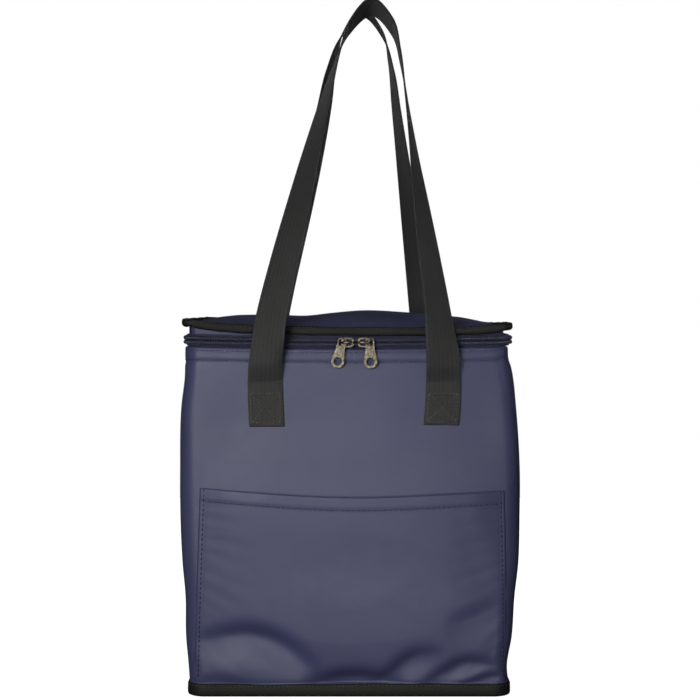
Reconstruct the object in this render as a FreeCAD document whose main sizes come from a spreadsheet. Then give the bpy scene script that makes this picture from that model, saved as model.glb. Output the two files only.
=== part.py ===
"""Insulated cooler bag: a soft box of coated fabric with a zipped lid, two webbing handles and a front slip pocket.

The origin is the middle of the base, where it stands. +X runs along the width, -Y is the front with the pocket and
the zip sliders, +Z is up. Lengths are millimetres and angles are degrees.
"""

import FreeCAD
import Part

import math
import os

import Sketcher

DIMENSIONS = [
    # the bag's outline
    ("base_width", 264.0),
    ("waist_width", 281.0),
    ("top_width", 268.0),
    ("depth", 176.0),
    ("corner_radius", 12.0),
    ("waist_height", 150.0),
    ("shell_foot", 1.5),
    ("rim_height", 291.5),
    # sheet thicknesses and the play between layers
    ("shell", 1.2),
    ("foam", 5.0),
    ("liner", 0.5),
    ("tape", 0.6),
    ("play", 0.2),
    # base
    ("base_flange_height", 9.4),
    ("board", 2.5),
    ("board_height", 1.5),
    ("base_foam_height", 4.2),
    ("base_inset", 6.0),
    ("binding_height", 10.3),
    ("binding_foot", 0.3),
    ("binding", 1.1),
    # walls inside
    ("wall_foot", 10.0),
    ("foam_top", 280.0),
    ("front_foam_width", 238.0),
    ("side_foam_depth", 156.0),
    ("side_foam_face", 130.4),
    ("liner_foot", 9.6),
    ("liner_top", 281.2),
    ("liner_width", 250.4),
    ("liner_depth", 162.8),
    ("liner_corner", 7.0),
    ("mouth_binding_width", 12.0),
    ("back_panel_width", 210.0),
    # hem round the rim
    ("hem_foot", 279.5),
    ("hem", 0.75),
    # front pocket
    ("pocket_foot", 10.6),
    ("pocket_top", 172.0),
    ("pocket_base_width", 258.0),
    ("pocket_top_width", 253.0),
    ("pocket_gape", 9.0),
    ("pocket_play", 0.4),
    # zip
    ("zip_height", 296.7),
    ("zip_gap", 1.6),
    ("coil_height", 2.7),
    ("coil", 1.85),
    ("tape_depth", 12.8),
    ("zip_end", 62.0),
    ("stop_length", 3.0),
    ("slider_left", 0.1),
    ("slider_right", 13.1),
    ("slider_length", 11.0),
    ("slider_width", 8.8),
    ("slider_corner", 1.6),
    ("slider_plate", 1.2),
    ("slider_back_plate", 1.0),
    ("post_length", 2.5),
    ("lip_depth", 2.0),
    ("arch_width", 2.4),
    ("arch_thick", 1.2),
    ("arch_reach", 4.3),
    ("arch_out", 4.4),
    ("pull_reach", 17.6),
    ("pull_ring", 6.1),
    ("pull_hole", 3.5),
    ("pull_thickness", 1.4),
    ("pull_eye", 3.6),
    ("pull_eye_hole", 1.8),
    ("pull_stand", 3.1),
    ("shank_top_width", 7.6),
    ("shank_foot_width", 10.4),
    ("shank_overlap", 3.0),
    ("panel_width", 4.6),
    ("panel_top", 4.2),
    ("panel_foot", 11.6),
    ("panel_sink", 0.35),
    # lid
    ("lid_band_foot", 301.6),
    ("lid_foot", 306.0),
    ("lid_shoulder_height", 313.0),
    ("lid_shoulder_inset", 28.0),
    ("lid_crown_height", 317.5),
    ("lid_crown_inset", 96.0),
    ("lid_foam", 4.5),
    ("lid_binding_foot", 302.5),
    ("lid_binding_height", 9.0),
    ("lid_binding", 3.7),
    ("hinge_width", 210.0),
    # handles
    ("webbing_width", 29.0),
    ("webbing", 1.8),
    ("end_foot", 226.0),
    ("end_top", 259.0),
    ("end_thickness", 3.0),
    ("end_play", 1.4),
    ("handle_spread", 147.2),
    ("front_handle_shift", 5.3),
    ]
SIZE = dict(DIMENSIONS)

# How far each strap stands from the bag's middle plane as it rises: (height, distance). It is sewn flat to the wall,
# bows out round the zip and the lid's edge, then leans in until the two handles all but meet.
STRAP_LEAN = [
    (259.0, 90.2),
    (261.5, 90.4),
    (268.0, 94.6),
    (273.7, 98.4),
    (275.7, 99.4),
    (287.0, 102.2),
    (315.0, 103.0),
    (335.0, 101.4),
    (371.0, 91.0),
    (413.0, 75.0),
    (457.0, 59.0),
    (537.0, 32.0),
    (563.0, 23.5),
    (582.0, 16.5),
]

# Each handle from its left foot over the crown to its right foot: (x, height, twist). The twist is how far the
# strap has turned from lying flat against the wall, 90 at the crown.
FRONT_HANDLE = [
    (-68.3, 259.0, 0.0),
    (-68.3, 261.5, 0.0),
    (-67.8, 268.0, 3.0),
    (-67.3, 275.7, 8.0),
    (-66.2, 287.0, 16.0),
    (-62.9, 315.0, 27.0),
    (-58.6, 335.0, 29.0),
    (-50.0, 371.0, 33.0),
    (-40.2, 413.0, 43.0),
    (-29.9, 457.0, 54.0),
    (-19.0, 501.0, 66.0),
    (-9.0, 537.0, 77.0),
    (1.0, 563.0, 84.0),
    (20.5, 582.0, 90.0),
    (38.5, 563.0, 91.0),
    (44.8, 537.0, 93.0),
    (49.6, 501.0, 98.0),
    (55.2, 457.0, 107.0),
    (60.7, 413.0, 120.0),
    (66.3, 371.0, 130.0),
    (71.6, 335.0, 136.0),
    (74.4, 315.0, 140.0),
    (77.4, 287.0, 159.0),
    (78.4, 275.7, 170.0),
    (78.8, 268.0, 176.0),
    (78.9, 261.5, 180.0),
    (78.9, 259.0, 180.0),
]
REAR_HANDLE = [
    (-73.6, 259.0, 0.0),
    (-73.6, 261.5, 0.0),
    (-73.2, 268.0, 3.0),
    (-72.7, 273.7, 6.0),
    (-72.6, 275.7, 8.0),
    (-71.4, 287.0, 16.0),
    (-68.0, 315.0, 27.0),
    (-63.6, 335.0, 30.0),
    (-54.5, 371.0, 35.0),
    (-43.0, 413.0, 44.0),
    (-31.6, 457.0, 53.0),
    (-21.6, 501.0, 62.0),
    (-14.5, 537.0, 72.0),
    (-5.5, 563.0, 82.0),
    (13.0, 582.0, 90.0),
    (31.0, 563.0, 92.0),
    (38.2, 537.0, 99.0),
    (43.2, 501.0, 106.0),
    (49.4, 457.0, 114.0),
    (56.0, 413.0, 124.0),
    (62.2, 371.0, 134.0),
    (67.0, 335.0, 142.0),
    (69.6, 315.0, 148.0),
    (72.4, 287.0, 161.0),
    (73.1, 275.7, 170.0),
    (73.3, 273.7, 172.0),
    (73.5, 268.0, 176.0),
    (73.6, 261.5, 180.0),
    (73.6, 259.0, 180.0),
]
POCKET_COLUMNS = (0.0, 0.3, 0.6, 0.85, 0.88, 0.9, 0.92, 0.94, 0.96, 0.98, 1.0)
POCKET_ROWS = 6
CROWN_ROLL = 24.0  # how much the outer edge of the webbing rises over the crown
SECTIONS_PER_SPAN = 2
ROOT_TOP = 273.7  # the rear handle's short roots end here, and its loop starts at the next row
SEWN_FLAT_TO = 261.0  # below this height a strap's sections stand straight up
PULL_TILT = {"left": 12.0, "right": -2.0}

# Inside a slider: where its plates' rear faces are, outward from the zip, and the small fits between its pieces
SLIDER_FRONT_FACE = 1.0
SLIDER_BACK_FACE = -3.6
SLIDER_END_ROOM = 0.6
SLIDER_BLEND = 0.1
POST_HALF = 0.5
LIP_EDGE = 0.6
ARCH_FILLET = 1.0
SHANK_DROP = 0.4
CLOSE = 0.01

doc = FreeCAD.newDocument("cooler_bag")
nodes = {}


def make_sheet():
    """The driving dimensions, one cell each, with the alias that the expressions use."""
    sheet = doc.addObject("Spreadsheet::Sheet", "dims")
    for row, (alias, value) in enumerate(DIMENSIONS, start=1):
        sheet.set(f"A{row}", alias)
        sheet.set(f"B{row}", str(value))
        sheet.setAlias(f"B{row}", alias)
    doc.recompute()


def bind(target, **expressions):
    """Bind properties to the sheet. A double underscore stands for the dot in a property's path."""
    for path, expression in expressions.items():
        target.setExpression(path.replace("__", "."), expression)


def node(name, thing):
    """Keep an object as the sub-part of that name."""
    thing.Label = name
    nodes[name] = thing
    return thing


def add_shape(name, shape):
    feature = doc.addObject("Part::Feature", name)
    feature.Shape = shape
    feature.Placement = FreeCAD.Placement()
    return node(name, feature)


# ---- building blocks ---------------------------------------------------------------------------------------------


def new_body(name):
    return doc.addObject("PartDesign::Body", name)


def new_sketch(body, name, role="XY_Plane", offset="0"):
    """A sketch on one of the body's own planes, moved along that plane's normal."""
    sketch = body.newObject("Sketcher::SketchObject", name)
    support = [f for f in body.Origin.OriginFeatures if f.Role == role][0]
    sketch.AttachmentSupport = (support, [""])
    sketch.MapMode = "FlatFace"
    bind(sketch, AttachmentOffset__Base__z=offset)
    return sketch


def dimension(sketch, name, expression, *constraint):
    """A driving constraint bound to the sheet."""
    index = sketch.addConstraint(Sketcher.Constraint(*constraint))
    sketch.renameConstraint(index, name)
    sketch.setExpression(f"Constraints.{name}", expression)


def rounded_outline(sketch, tag, width, depth, radius, start=(130.0, 85.0, 12.0)):
    """A rounded rectangle centred on the sketch's origin. start is a rough half width, half depth and radius."""
    half_w, half_d, r = start
    x, y = half_w - r, half_d - r
    up = FreeCAD.Vector(0, 0, 1)
    quarter = math.pi / 2

    def arc(cx, cy, n):
        circle = Part.Circle(FreeCAD.Vector(cx, cy, 0), up, r)
        return Part.ArcOfCircle(circle, n * quarter, (n + 1) * quarter)

    def line(x1, y1, x2, y2):
        return Part.LineSegment(FreeCAD.Vector(x1, y1, 0), FreeCAD.Vector(x2, y2, 0))

    sides = [
        arc(x, y, 0),
        line(x, half_d, -x, half_d),
        arc(-x, y, 1),
        line(-half_w, y, -half_w, -y),
        arc(-x, -y, 2),
        line(-x, -half_d, x, -half_d),
        arc(x, -y, 3),
        line(half_w, -y, half_w, y),
    ]
    ids = [sketch.addGeometry(side, False) for side in sides]
    arc_0, back, arc_1, left, arc_2, front, arc_3, right = ids
    for here, after in zip(ids, ids[1:] + ids[:1]):
        sketch.addConstraint(Sketcher.Constraint("Tangent", here, 2, after, 1))
    sketch.addConstraint(Sketcher.Constraint("Symmetric", back, 1, back, 2, -2))
    sketch.addConstraint(Sketcher.Constraint("Symmetric", right, 1, right, 2, -1))
    sketch.addConstraint(Sketcher.Constraint("Horizontal", front))
    sketch.addConstraint(Sketcher.Constraint("Vertical", left))
    for other in (arc_1, arc_2, arc_3):
        sketch.addConstraint(Sketcher.Constraint("Equal", arc_0, other))
    dimension(sketch, f"radius_{tag}", radius, "Radius", arc_0, r)
    dimension(sketch, f"width_{tag}", width, "DistanceX", left, 1, right, 1, 2 * half_w)
    dimension(sketch, f"depth_{tag}", depth, "DistanceY", front, 1, back, 1, 2 * half_d)


def box_outline(sketch, tag, x1, y1, x2, y2, low=(-1.0, -1.0), high=(1.0, 1.0)):
    """A rectangle between two corners, given as expressions and as rough starting values."""
    corners = [low, (high[0], low[1]), high, (low[0], high[1])]
    points = [FreeCAD.Vector(x, y, 0) for x, y in corners]
    ids = [sketch.addGeometry(Part.LineSegment(a, b), False) for a, b in zip(points, points[1:] + points[:1])]
    for here, after in zip(ids, ids[1:] + ids[:1]):
        sketch.addConstraint(Sketcher.Constraint("Coincident", here, 2, after, 1))
    for kind, line in zip(("Horizontal", "Vertical", "Horizontal", "Vertical"), ids):
        sketch.addConstraint(Sketcher.Constraint(kind, line))
    dimension(sketch, f"x1_{tag}", x1, "DistanceX", -1, 1, ids[0], 1, low[0])
    dimension(sketch, f"y1_{tag}", y1, "DistanceY", -1, 1, ids[0], 1, low[1])
    dimension(sketch, f"x2_{tag}", x2, "DistanceX", -1, 1, ids[2], 1, high[0])
    dimension(sketch, f"y2_{tag}", y2, "DistanceY", -1, 1, ids[2], 1, high[1])


def pad(body, sketch, length, name="pad"):
    feature = body.newObject("PartDesign::Pad", name)
    feature.Profile = sketch
    bind(feature, Length=length)
    return feature


def plate(name, foot, thickness, outline):
    """A flat sheet of rounded outline (width, depth, radius), all expressions."""
    body = new_body(name)
    sketch = new_sketch(body, "outline", offset=foot)
    rounded_outline(sketch, "edge", *outline)
    pad(body, sketch, thickness)
    return body


def ring(name, levels):
    """A closed band: for each (foot, height, outer outline, inner outline), a padded ring."""
    body = new_body(name)
    for n, (foot, height, outer, inner) in enumerate(levels):
        sketch = new_sketch(body, f"ring_{n}", offset=foot)
        rounded_outline(sketch, "outer", *outer)
        rounded_outline(sketch, "inner", *inner, start=(120.0, 75.0, 9.0))
        pad(body, sketch, height, f"pad_{n}")
    return body


def loft(body, kind, sections):
    """A ruled loft through rounded outlines, each (height, width, depth, radius), added or cut."""
    sketches = []
    for n, (height, width, depth, radius) in enumerate(sections):
        sketch = new_sketch(body, f"{kind}_{n}", offset=height)
        rounded_outline(sketch, "edge", width, depth, radius)
        sketches.append(sketch)
    feature = body.newObject(f"PartDesign::{kind}", kind)
    feature.Profile = sketches[0]
    feature.Sections = sketches[1:]
    feature.Ruled = True
    return feature


def slab(name, x, y, z, length, width, height):
    """A box by its lowest corner and its three sides, all expressions."""
    box = doc.addObject("Part::Box", name)
    bind(box, Length=length, Width=width, Height=height)
    bind(box, Placement__Base__x=x, Placement__Base__y=y, Placement__Base__z=z)
    return box


def cut(name, base, tool):
    feature = doc.addObject("Part::Cut", name)
    feature.Base = base
    feature.Tool = tool
    return feature


def inset(value, width="dims.top_width", depth="dims.depth", radius="dims.corner_radius"):
    """The rim's outline moved in by an expression, or out by a negative one."""
    return (f"{width} - 2 * ({value})", f"{depth} - 2 * ({value})", f"max({radius} - ({value}); 2)")


# ---- the bag -----------------------------------------------------------------------------------------------------


def make_shell():
    """The coated outer fabric: one piece wraps the front and both sides, and a flat panel closes the back."""
    body = new_body("shell_loft")
    outer = [
        ("dims.shell_foot", "dims.base_width", "dims.depth", "dims.corner_radius"),
        ("dims.waist_height", "dims.waist_width", "dims.depth", "dims.corner_radius"),
        ("dims.rim_height", "dims.top_width", "dims.depth", "dims.corner_radius"),
    ]
    inner = [(z, f"{w} - 2 * dims.shell", f"{d} - 2 * dims.shell", f"{r} - dims.shell") for z, w, d, r in outer]
    loft(body, "AdditiveLoft", outer)
    loft(body, "SubtractiveLoft", inner)
    window = slab(
        "back_window",
        "-dims.back_panel_width / 2 - dims.play",
        "dims.depth / 2 - 2 * dims.shell",
        "0",
        "dims.back_panel_width + 2 * dims.play",
        "4 * dims.shell",
        "dims.rim_height + 10",
    )
    node("shell_wrap", cut("shell_wrap", body, window))
    node(
        "back_panel",
        slab(
            "back_panel",
            "-dims.back_panel_width / 2",
            "dims.depth / 2 - dims.shell",
            "dims.shell_foot",
            "dims.back_panel_width",
            "dims.shell",
            "dims.rim_height - dims.shell_foot",
        ),
    )


def make_base():
    """The floor of the bag from outside in: coated tray, stiffening board, foam, and the tape that binds the edge."""
    inner_wall = "dims.shell + dims.play"
    tray = inset(inner_wall, width="dims.base_width", radius="dims.corner_radius")
    hollow = inset(f"{inner_wall} + 1", width="dims.base_width", radius="dims.corner_radius")
    body = new_body("base_panel")
    floor = new_sketch(body, "floor")
    rounded_outline(floor, "edge", *tray)
    pad(body, floor, "dims.shell", "floor_pad")
    flange = new_sketch(body, "flange", offset="dims.shell")
    rounded_outline(flange, "outer", *tray)
    rounded_outline(flange, "inner", *hollow, start=(120.0, 75.0, 9.0))
    pad(body, flange, "dims.base_flange_height - dims.shell", "flange_pad")
    node("base_panel", body)
    core = (
        "dims.base_width - dims.base_inset",
        "dims.depth - dims.base_inset",
        "dims.corner_radius - dims.base_inset / 2",
    )
    node("base_board", plate("base_board", "dims.board_height", "dims.board", core))
    node("base_foam", plate("base_foam", "dims.base_foam_height", "dims.foam", core))
    swell = "0.5"
    outer = (
        f"dims.base_width + 2 * (dims.binding + dims.play / 2 + {swell})",
        "dims.depth + 2 * (dims.binding + dims.play / 2)",
        "dims.corner_radius + dims.binding + dims.play / 2",
    )
    wall = (
        f"dims.base_width + 2 * (dims.play / 2 + {swell})",
        "dims.depth + dims.play",
        "dims.corner_radius + dims.play / 2",
    )
    under = inset("dims.shell - dims.play / 2", width="dims.base_width")
    node(
        "base_binding",
        ring(
            "base_binding",
            [
                ("dims.binding_foot", "1", outer, under),
                ("dims.binding_foot + 1", "dims.binding_height - dims.binding_foot - 1", outer, wall),
            ],
        ),
    )


def make_walls_inside():
    """Foam sheets in the four walls, the foil liner with its floor, and the tape that covers their top edge."""
    face = "(dims.depth / 2 - dims.shell - dims.play)"
    height = "dims.foam_top - dims.wall_foot"
    wide = ("dims.front_foam_width", "dims.foam", height)
    deep = ("dims.foam", "dims.side_foam_depth", height)
    x_wide = "-dims.front_foam_width / 2"
    y_deep = "-dims.side_foam_depth / 2"
    node("front_foam", slab("front_foam", x_wide, f"-{face}", "dims.wall_foot", *wide))
    node("rear_foam", slab("rear_foam", x_wide, f"{face} - dims.foam", "dims.wall_foot", *wide))
    node("left_foam", slab("left_foam", "-dims.side_foam_face", y_deep, "dims.wall_foot", *deep))
    node("right_foam", slab("right_foam", "dims.side_foam_face - dims.foam", y_deep, "dims.wall_foot", *deep))

    def lined(value):
        return inset(value, "dims.liner_width", "dims.liner_depth", "dims.liner_corner")

    wall = [("dims.liner_foot", "dims.liner_top - dims.liner_foot", lined("0"), lined("dims.liner"))]
    node("liner_wall", ring("liner_wall", wall))
    node("liner_floor", plate("liner_floor", "dims.liner_foot", "dims.liner", lined("dims.liner + dims.play / 2")))
    sleeve = "dims.liner + dims.play"
    node(
        "mouth_binding",
        ring(
            "mouth_binding",
            [
                (
                    "dims.liner_top + dims.play - dims.mouth_binding_width",
                    "dims.mouth_binding_width",
                    lined(sleeve),
                    lined(f"{sleeve} + dims.tape"),
                ),
                (
                    "dims.liner_top + dims.play",
                    "dims.tape",
                    lined("-4.4"),
                    lined(f"{sleeve} + dims.tape"),
                ),
            ],
        ),
    )


def make_rim():
    """The double-stitched hem band round the outside of the rim."""
    swell = "0.65"
    inner = (
        f"dims.top_width + 2 * (dims.play / 2 + {swell})",
        "dims.depth + dims.play",
        "dims.corner_radius + dims.play / 2",
    )
    outer = (
        f"dims.top_width + 2 * (dims.play / 2 + {swell} + dims.hem)",
        "dims.depth + dims.play + 2 * dims.hem",
        "dims.corner_radius + dims.play / 2 + dims.hem",
    )
    node("rim_hem", ring("rim_hem", [("dims.hem_foot", "dims.rim_height - dims.hem_foot", outer, inner)]))


def front_face(x, z):
    """Where the front of the shell is at a point across it: flat, then round the corner."""
    low = (SIZE["shell_foot"], SIZE["base_width"])
    waist = (SIZE["waist_height"], SIZE["waist_width"])
    top = (SIZE["rim_height"], SIZE["top_width"])
    (z1, w1), (z2, w2) = (low, waist) if z < waist[0] else (waist, top)
    half = (w1 + (w2 - w1) * (z - z1) / (z2 - z1)) / 2
    radius = SIZE["corner_radius"]
    past = max(0.0, abs(x) - (half - radius))
    return -SIZE["depth"] / 2 + radius - math.sqrt(radius**2 - past**2)


def make_pocket():
    """The slip pocket: sewn down at its foot and sides, and standing open along its top edge."""
    foot, top = SIZE["pocket_foot"], SIZE["pocket_top"]
    play, thickness = SIZE["pocket_play"], SIZE["shell"]
    columns = []
    for across in [-share for share in POCKET_COLUMNS[:0:-1]] + list(POCKET_COLUMNS):
        skin = []
        for row in range(POCKET_ROWS + 1):
            rise = row / POCKET_ROWS
            z = foot + (top - foot) * rise
            width = SIZE["pocket_base_width"] + (SIZE["pocket_top_width"] - SIZE["pocket_base_width"]) * rise
            x = across * width / 2
            gape = SIZE["pocket_gape"] * (1 - across**2) * rise
            skin.append(FreeCAD.Vector(x, front_face(x, z) - play - gape, z))
        outside = [point - FreeCAD.Vector(0, thickness, 0) for point in reversed(skin)]
        columns.append(Part.makePolygon(skin + outside + skin[:1]))
    add_shape("pocket_panel", Part.makeLoft(columns, True, True))


# ---- the zip -----------------------------------------------------------------------------------------------------


def open_back(name, closed, foot, height):
    """A ring with its back cut away, so that it runs along the front and both sides only."""
    space = slab(f"{name}_gap", "-dims.waist_width", "dims.zip_end", foot, "2 * dims.waist_width", "dims.depth", height)
    return cut(name, closed, space)


def make_zip():
    """Two tapes with a coil on the edge of each, one on the bag and one on the lid, and the stops at the ends."""
    tape = inset("dims.shell + dims.play / 2"), inset("dims.shell + dims.play / 2 + dims.tape")
    coil = inset("dims.shell + dims.play / 4 - dims.coil"), inset("dims.shell + dims.play / 4")
    below = "dims.zip_height - dims.zip_gap / 2"
    above = "dims.zip_height + dims.zip_gap / 2"
    runs = {
        "zip_tape_body": (f"{below} - dims.tape_depth", "dims.tape_depth", tape),
        "zip_coil_body": (f"{below} - dims.coil_height", "dims.coil_height", coil),
        "zip_tape_lid": (above, f"dims.lid_foot - dims.play - ({above})", tape),
        "zip_coil_lid": (above, "dims.coil_height", coil),
    }
    for name, (foot, height, (outer, inner)) in runs.items():
        closed = ring(f"{name}_ring", [(foot, height, outer, inner)])
        node(name, open_back(name, closed, f"{foot} - 1", f"{height} + 2"))
    stops = doc.addObject("Part::Compound", "zip_end_stops")
    stops.Links = [
        slab(
            f"zip_stop_{side}",
            f"{sign} * (dims.top_width / 2 - dims.shell + dims.coil / 2) - 1.4",
            "dims.zip_end + dims.play",
            f"{below} - dims.coil_height",
            "2.8",
            "dims.stop_length",
            "dims.coil_height",
        )
        for side, sign in (("left", -1), ("right", 1))
    ]
    node("zip_end_stops", stops)


def make_slider(side, sign):
    """A slider: two plates joined by a post that rides between the coils, a lip under the lower coil, and the arch
    that the pull hangs from. sign is -1 for the left slider, whose post is at its right-hand end."""
    name = f"slider_{side}"
    body = new_body(name)
    length, width, corner = SIZE["slider_length"], SIZE["slider_width"], SIZE["slider_corner"]
    front, back = SLIDER_FRONT_FACE, SLIDER_BACK_FACE
    for tag, face, thickness in (("front", front, "slider_plate"), ("back", back, "slider_back_plate")):
        sketch = new_sketch(body, f"{tag}_plate", "XZ_Plane", str(face))
        sizes = "dims.slider_length", "dims.slider_width", "dims.slider_corner"
        rounded_outline(sketch, "plate", *sizes, start=(length / 2, width / 2, corner))
        pad(body, sketch, f"dims.{thickness}", f"{tag}_plate_pad")
    plate, post = SIZE["slider_plate"], SIZE["post_length"] / 2
    post_middle = -sign * (length / 2 - SLIDER_END_ROOM - post)
    leg, half = SIZE["arch_thick"] / 2, SIZE["arch_width"] / 2
    out, reach = SIZE["arch_out"], SIZE["arch_reach"]
    root = front + plate - SLIDER_BLEND
    post_face = back + SIZE["slider_back_plate"] - SLIDER_BLEND
    inside = front + SLIDER_BLEND
    lip_face = inside - SIZE["lip_depth"]
    blocks = {
        "post": (post_middle - post, -POST_HALF, post_middle + post, POST_HALF, post_face, inside),
        "lip": (corner - length / 2, -width / 2, length / 2 - corner, LIP_EDGE - width / 2, lip_face, inside),
        "left_leg": (-out - leg, -half, leg - out, half, root, root + reach),
        "right_leg": (out - leg, -half, out + leg, half, root, root + reach),
        "bar": (-out - leg, -half, out + leg, half, root + reach - leg * 2, root + reach),
    }
    for tag, (left, low, right, high, face, end) in blocks.items():
        sketch = new_sketch(body, tag, "XZ_Plane", f"{face:.3f}")
        edges = (left, low, right, high)
        box_outline(sketch, tag, *(f"{value:.3f}" for value in edges), (left, low), (right, high))
        feature = pad(body, sketch, f"{end - face:.3f}", f"{tag}_pad")
    doc.recompute()
    outermost = min(face.CenterOfMass.y for face in feature.Shape.Faces)
    shoulders = [
        f"Edge{n}"
        for n, edge in enumerate(feature.Shape.Edges, start=1)
        if abs(edge.CenterOfMass.y - outermost) < CLOSE and abs(abs(edge.CenterOfMass.x) - out - leg) < CLOSE
    ]
    fillet = body.newObject("PartDesign::Fillet", "arch_fillet")
    fillet.Base = (feature, shoulders)
    fillet.Radius = ARCH_FILLET
    bind(
        body,
        Placement__Base__x=f"dims.slider_{side}",
        Placement__Base__y="-dims.depth / 2",
        Placement__Base__z="dims.zip_height",
    )
    node(name, body)
    make_pull(side, sign)


def make_pull(side, sign):
    """A pull: an eye round the arch's outer leg, a flared shank with a shallow panel, and a finger ring."""
    name = f"pull_{side}"
    body = new_body(name)

    def disc(tag, drop, radius):
        """A round sketch on the body's own plane, lowered by the dimension named, or centred if none is."""
        sketch = new_sketch(body, tag, "XZ_Plane", "0")
        fall = SIZE[drop] if drop else 0.0
        circle = Part.Circle(FreeCAD.Vector(0, -fall, 0), FreeCAD.Vector(0, 0, 1), SIZE[radius])
        shape = sketch.addGeometry(circle, False)
        if drop:
            sketch.addConstraint(Sketcher.Constraint("PointOnObject", shape, 3, -2))
            dimension(sketch, "drop", f"dims.{drop}", "DistanceY", shape, 3, -1, 1, fall)
        else:
            sketch.addConstraint(Sketcher.Constraint("Coincident", shape, 3, -1, 1))
        dimension(sketch, "radius", f"dims.{radius}", "Radius", shape, SIZE[radius])
        return sketch

    pad(body, disc("eye", None, "pull_eye"), "dims.pull_thickness", "eye_pad")
    shank = new_sketch(body, "shank", "XZ_Plane")
    top, foot = SIZE["shank_top_width"] / 2, SIZE["shank_foot_width"] / 2
    below = SIZE["pull_reach"] - SIZE["shank_overlap"]
    corners = [(-top, -SHANK_DROP), (top, -SHANK_DROP), (foot, -below), (-foot, -below)]
    points = [FreeCAD.Vector(x, z, 0) for x, z in corners]
    ids = [shank.addGeometry(Part.LineSegment(a, b), False) for a, b in zip(points, points[1:] + points[:1])]
    for one, after in zip(ids, ids[1:] + ids[:1]):
        shank.addConstraint(Sketcher.Constraint("Coincident", one, 2, after, 1))
    shank.addConstraint(Sketcher.Constraint("Symmetric", ids[0], 1, ids[0], 2, -2))
    shank.addConstraint(Sketcher.Constraint("Symmetric", ids[2], 1, ids[2], 2, -2))
    dimension(shank, "top", "dims.shank_top_width", "DistanceX", ids[0], 1, ids[0], 2, top * 2)
    dimension(shank, "foot", "dims.shank_foot_width", "DistanceX", ids[2], 2, ids[2], 1, foot * 2)
    dimension(shank, "above", str(SHANK_DROP), "DistanceY", ids[0], 1, -1, 1, SHANK_DROP)
    dimension(shank, "below", "dims.pull_reach - dims.shank_overlap", "DistanceY", ids[2], 1, -1, 1, below)
    pad(body, shank, "dims.pull_thickness", "shank_pad")
    pad(body, disc("ring", "pull_reach", "pull_ring"), "dims.pull_thickness", "ring_pad")
    doc.recompute()
    for tag, drop, radius in (("eye_hole", None, "pull_eye_hole"), ("ring_hole", "pull_reach", "pull_hole")):
        hole = body.newObject("PartDesign::Pocket", f"{tag}_pocket")
        hole.Profile = disc(tag, drop, radius)
        hole.Type = "ThroughAll"
        hole.Midplane = True
    panel = new_sketch(body, "panel", "XZ_Plane", "dims.pull_thickness")
    half, high, low = SIZE["panel_width"] / 2, -SIZE["panel_top"], -SIZE["panel_foot"]
    edges = "-dims.panel_width / 2", "-dims.panel_foot", "dims.panel_width / 2", "-dims.panel_top"
    box_outline(panel, "panel", *edges, (-half, low), (half, high))
    recess = body.newObject("PartDesign::Pocket", "panel_pocket")
    recess.Profile = panel
    bind(recess, Length="dims.panel_sink")
    hang = FreeCAD.Rotation(FreeCAD.Vector(0, 1, 0), PULL_TILT[side])
    body.Placement = FreeCAD.Placement(FreeCAD.Vector(0, 0, 0), hang)
    bind(
        body,
        Placement__Base__x=f"dims.slider_{side} + {sign} * dims.arch_out",
        Placement__Base__y="-dims.depth / 2 - dims.pull_stand",
        Placement__Base__z="dims.zip_height",
    )
    node(name, body)


# ---- the lid -----------------------------------------------------------------------------------------------------


def make_lid():
    """The domed lid panel with foam and foil under it, its side band, the bound edge, and the hinge along the back."""
    body = new_body("lid_panel")

    def dome(drop, shrink):
        return [
            (
                f"{height} - {drop}",
                f"dims.top_width - {fall} - {shrink}",
                f"dims.depth - {fall} - {shrink}",
                "dims.corner_radius + 4",
            )
            for height, fall in (
                ("dims.lid_foot", "0"),
                ("dims.lid_shoulder_height", "dims.lid_shoulder_inset"),
                ("dims.lid_crown_height", "dims.lid_crown_inset"),
            )
        ]

    loft(body, "AdditiveLoft", dome("0", "0"))
    loft(body, "SubtractiveLoft", dome("dims.shell", "2.4"))
    node("lid_panel", body)
    core = (
        "dims.top_width - dims.lid_shoulder_inset - 2",
        "dims.depth - dims.lid_shoulder_inset - 2",
        "dims.corner_radius",
    )
    node("lid_foam", plate("lid_foam", "dims.lid_foot + dims.play", "dims.lid_foam", core))
    sheet = inset("3")
    node("lid_liner", plate("lid_liner", "dims.lid_foot - dims.play / 2 - dims.liner", "dims.liner", sheet))
    under = "dims.lid_foot - dims.play - dims.liner - dims.tape"
    node(
        "lid_inner_binding",
        ring("lid_inner_binding", [(under, "dims.tape", inset("2.4"), inset("2.4 + dims.mouth_binding_width"))]),
    )
    band = ("dims.lid_band_foot", "dims.lid_foot - dims.lid_band_foot", inset("0"), inset("dims.shell"))
    node("lid_side_band", ring("lid_side_band", [band]))
    edge = (
        "dims.lid_binding_foot",
        "dims.lid_binding_height",
        inset("-dims.play - dims.lid_binding"),
        inset("-dims.play"),
    )
    node("lid_binding", ring("lid_binding", [edge]))
    x_hinge = "-dims.hinge_width / 2"
    node(
        "lid_hinge_flap",
        slab(
            "lid_hinge_flap",
            x_hinge,
            "dims.depth / 2 - dims.shell",
            "dims.zip_height + 0.3",
            "dims.hinge_width",
            "dims.shell",
            "dims.lid_band_foot - dims.zip_height - 0.3",
        ),
    )
    node(
        "hinge_strip",
        slab(
            "hinge_strip",
            x_hinge,
            "dims.depth / 2 - dims.shell - dims.play / 2 - dims.tape",
            "dims.zip_height - 0.5 - dims.tape_depth",
            "dims.hinge_width",
            "dims.tape",
            "dims.tape_depth",
        ),
    )


# ---- the handles -------------------------------------------------------------------------------------------------


def lean_at(height):
    """Distance from the middle plane at a height: straight runs between the points of STRAP_LEAN."""
    for (low, here), (high, there) in zip(STRAP_LEAN, STRAP_LEAN[1:]):
        if height <= high:
            return here + (there - here) * (height - low) / (high - low)
    return STRAP_LEAN[-1][1]


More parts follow.
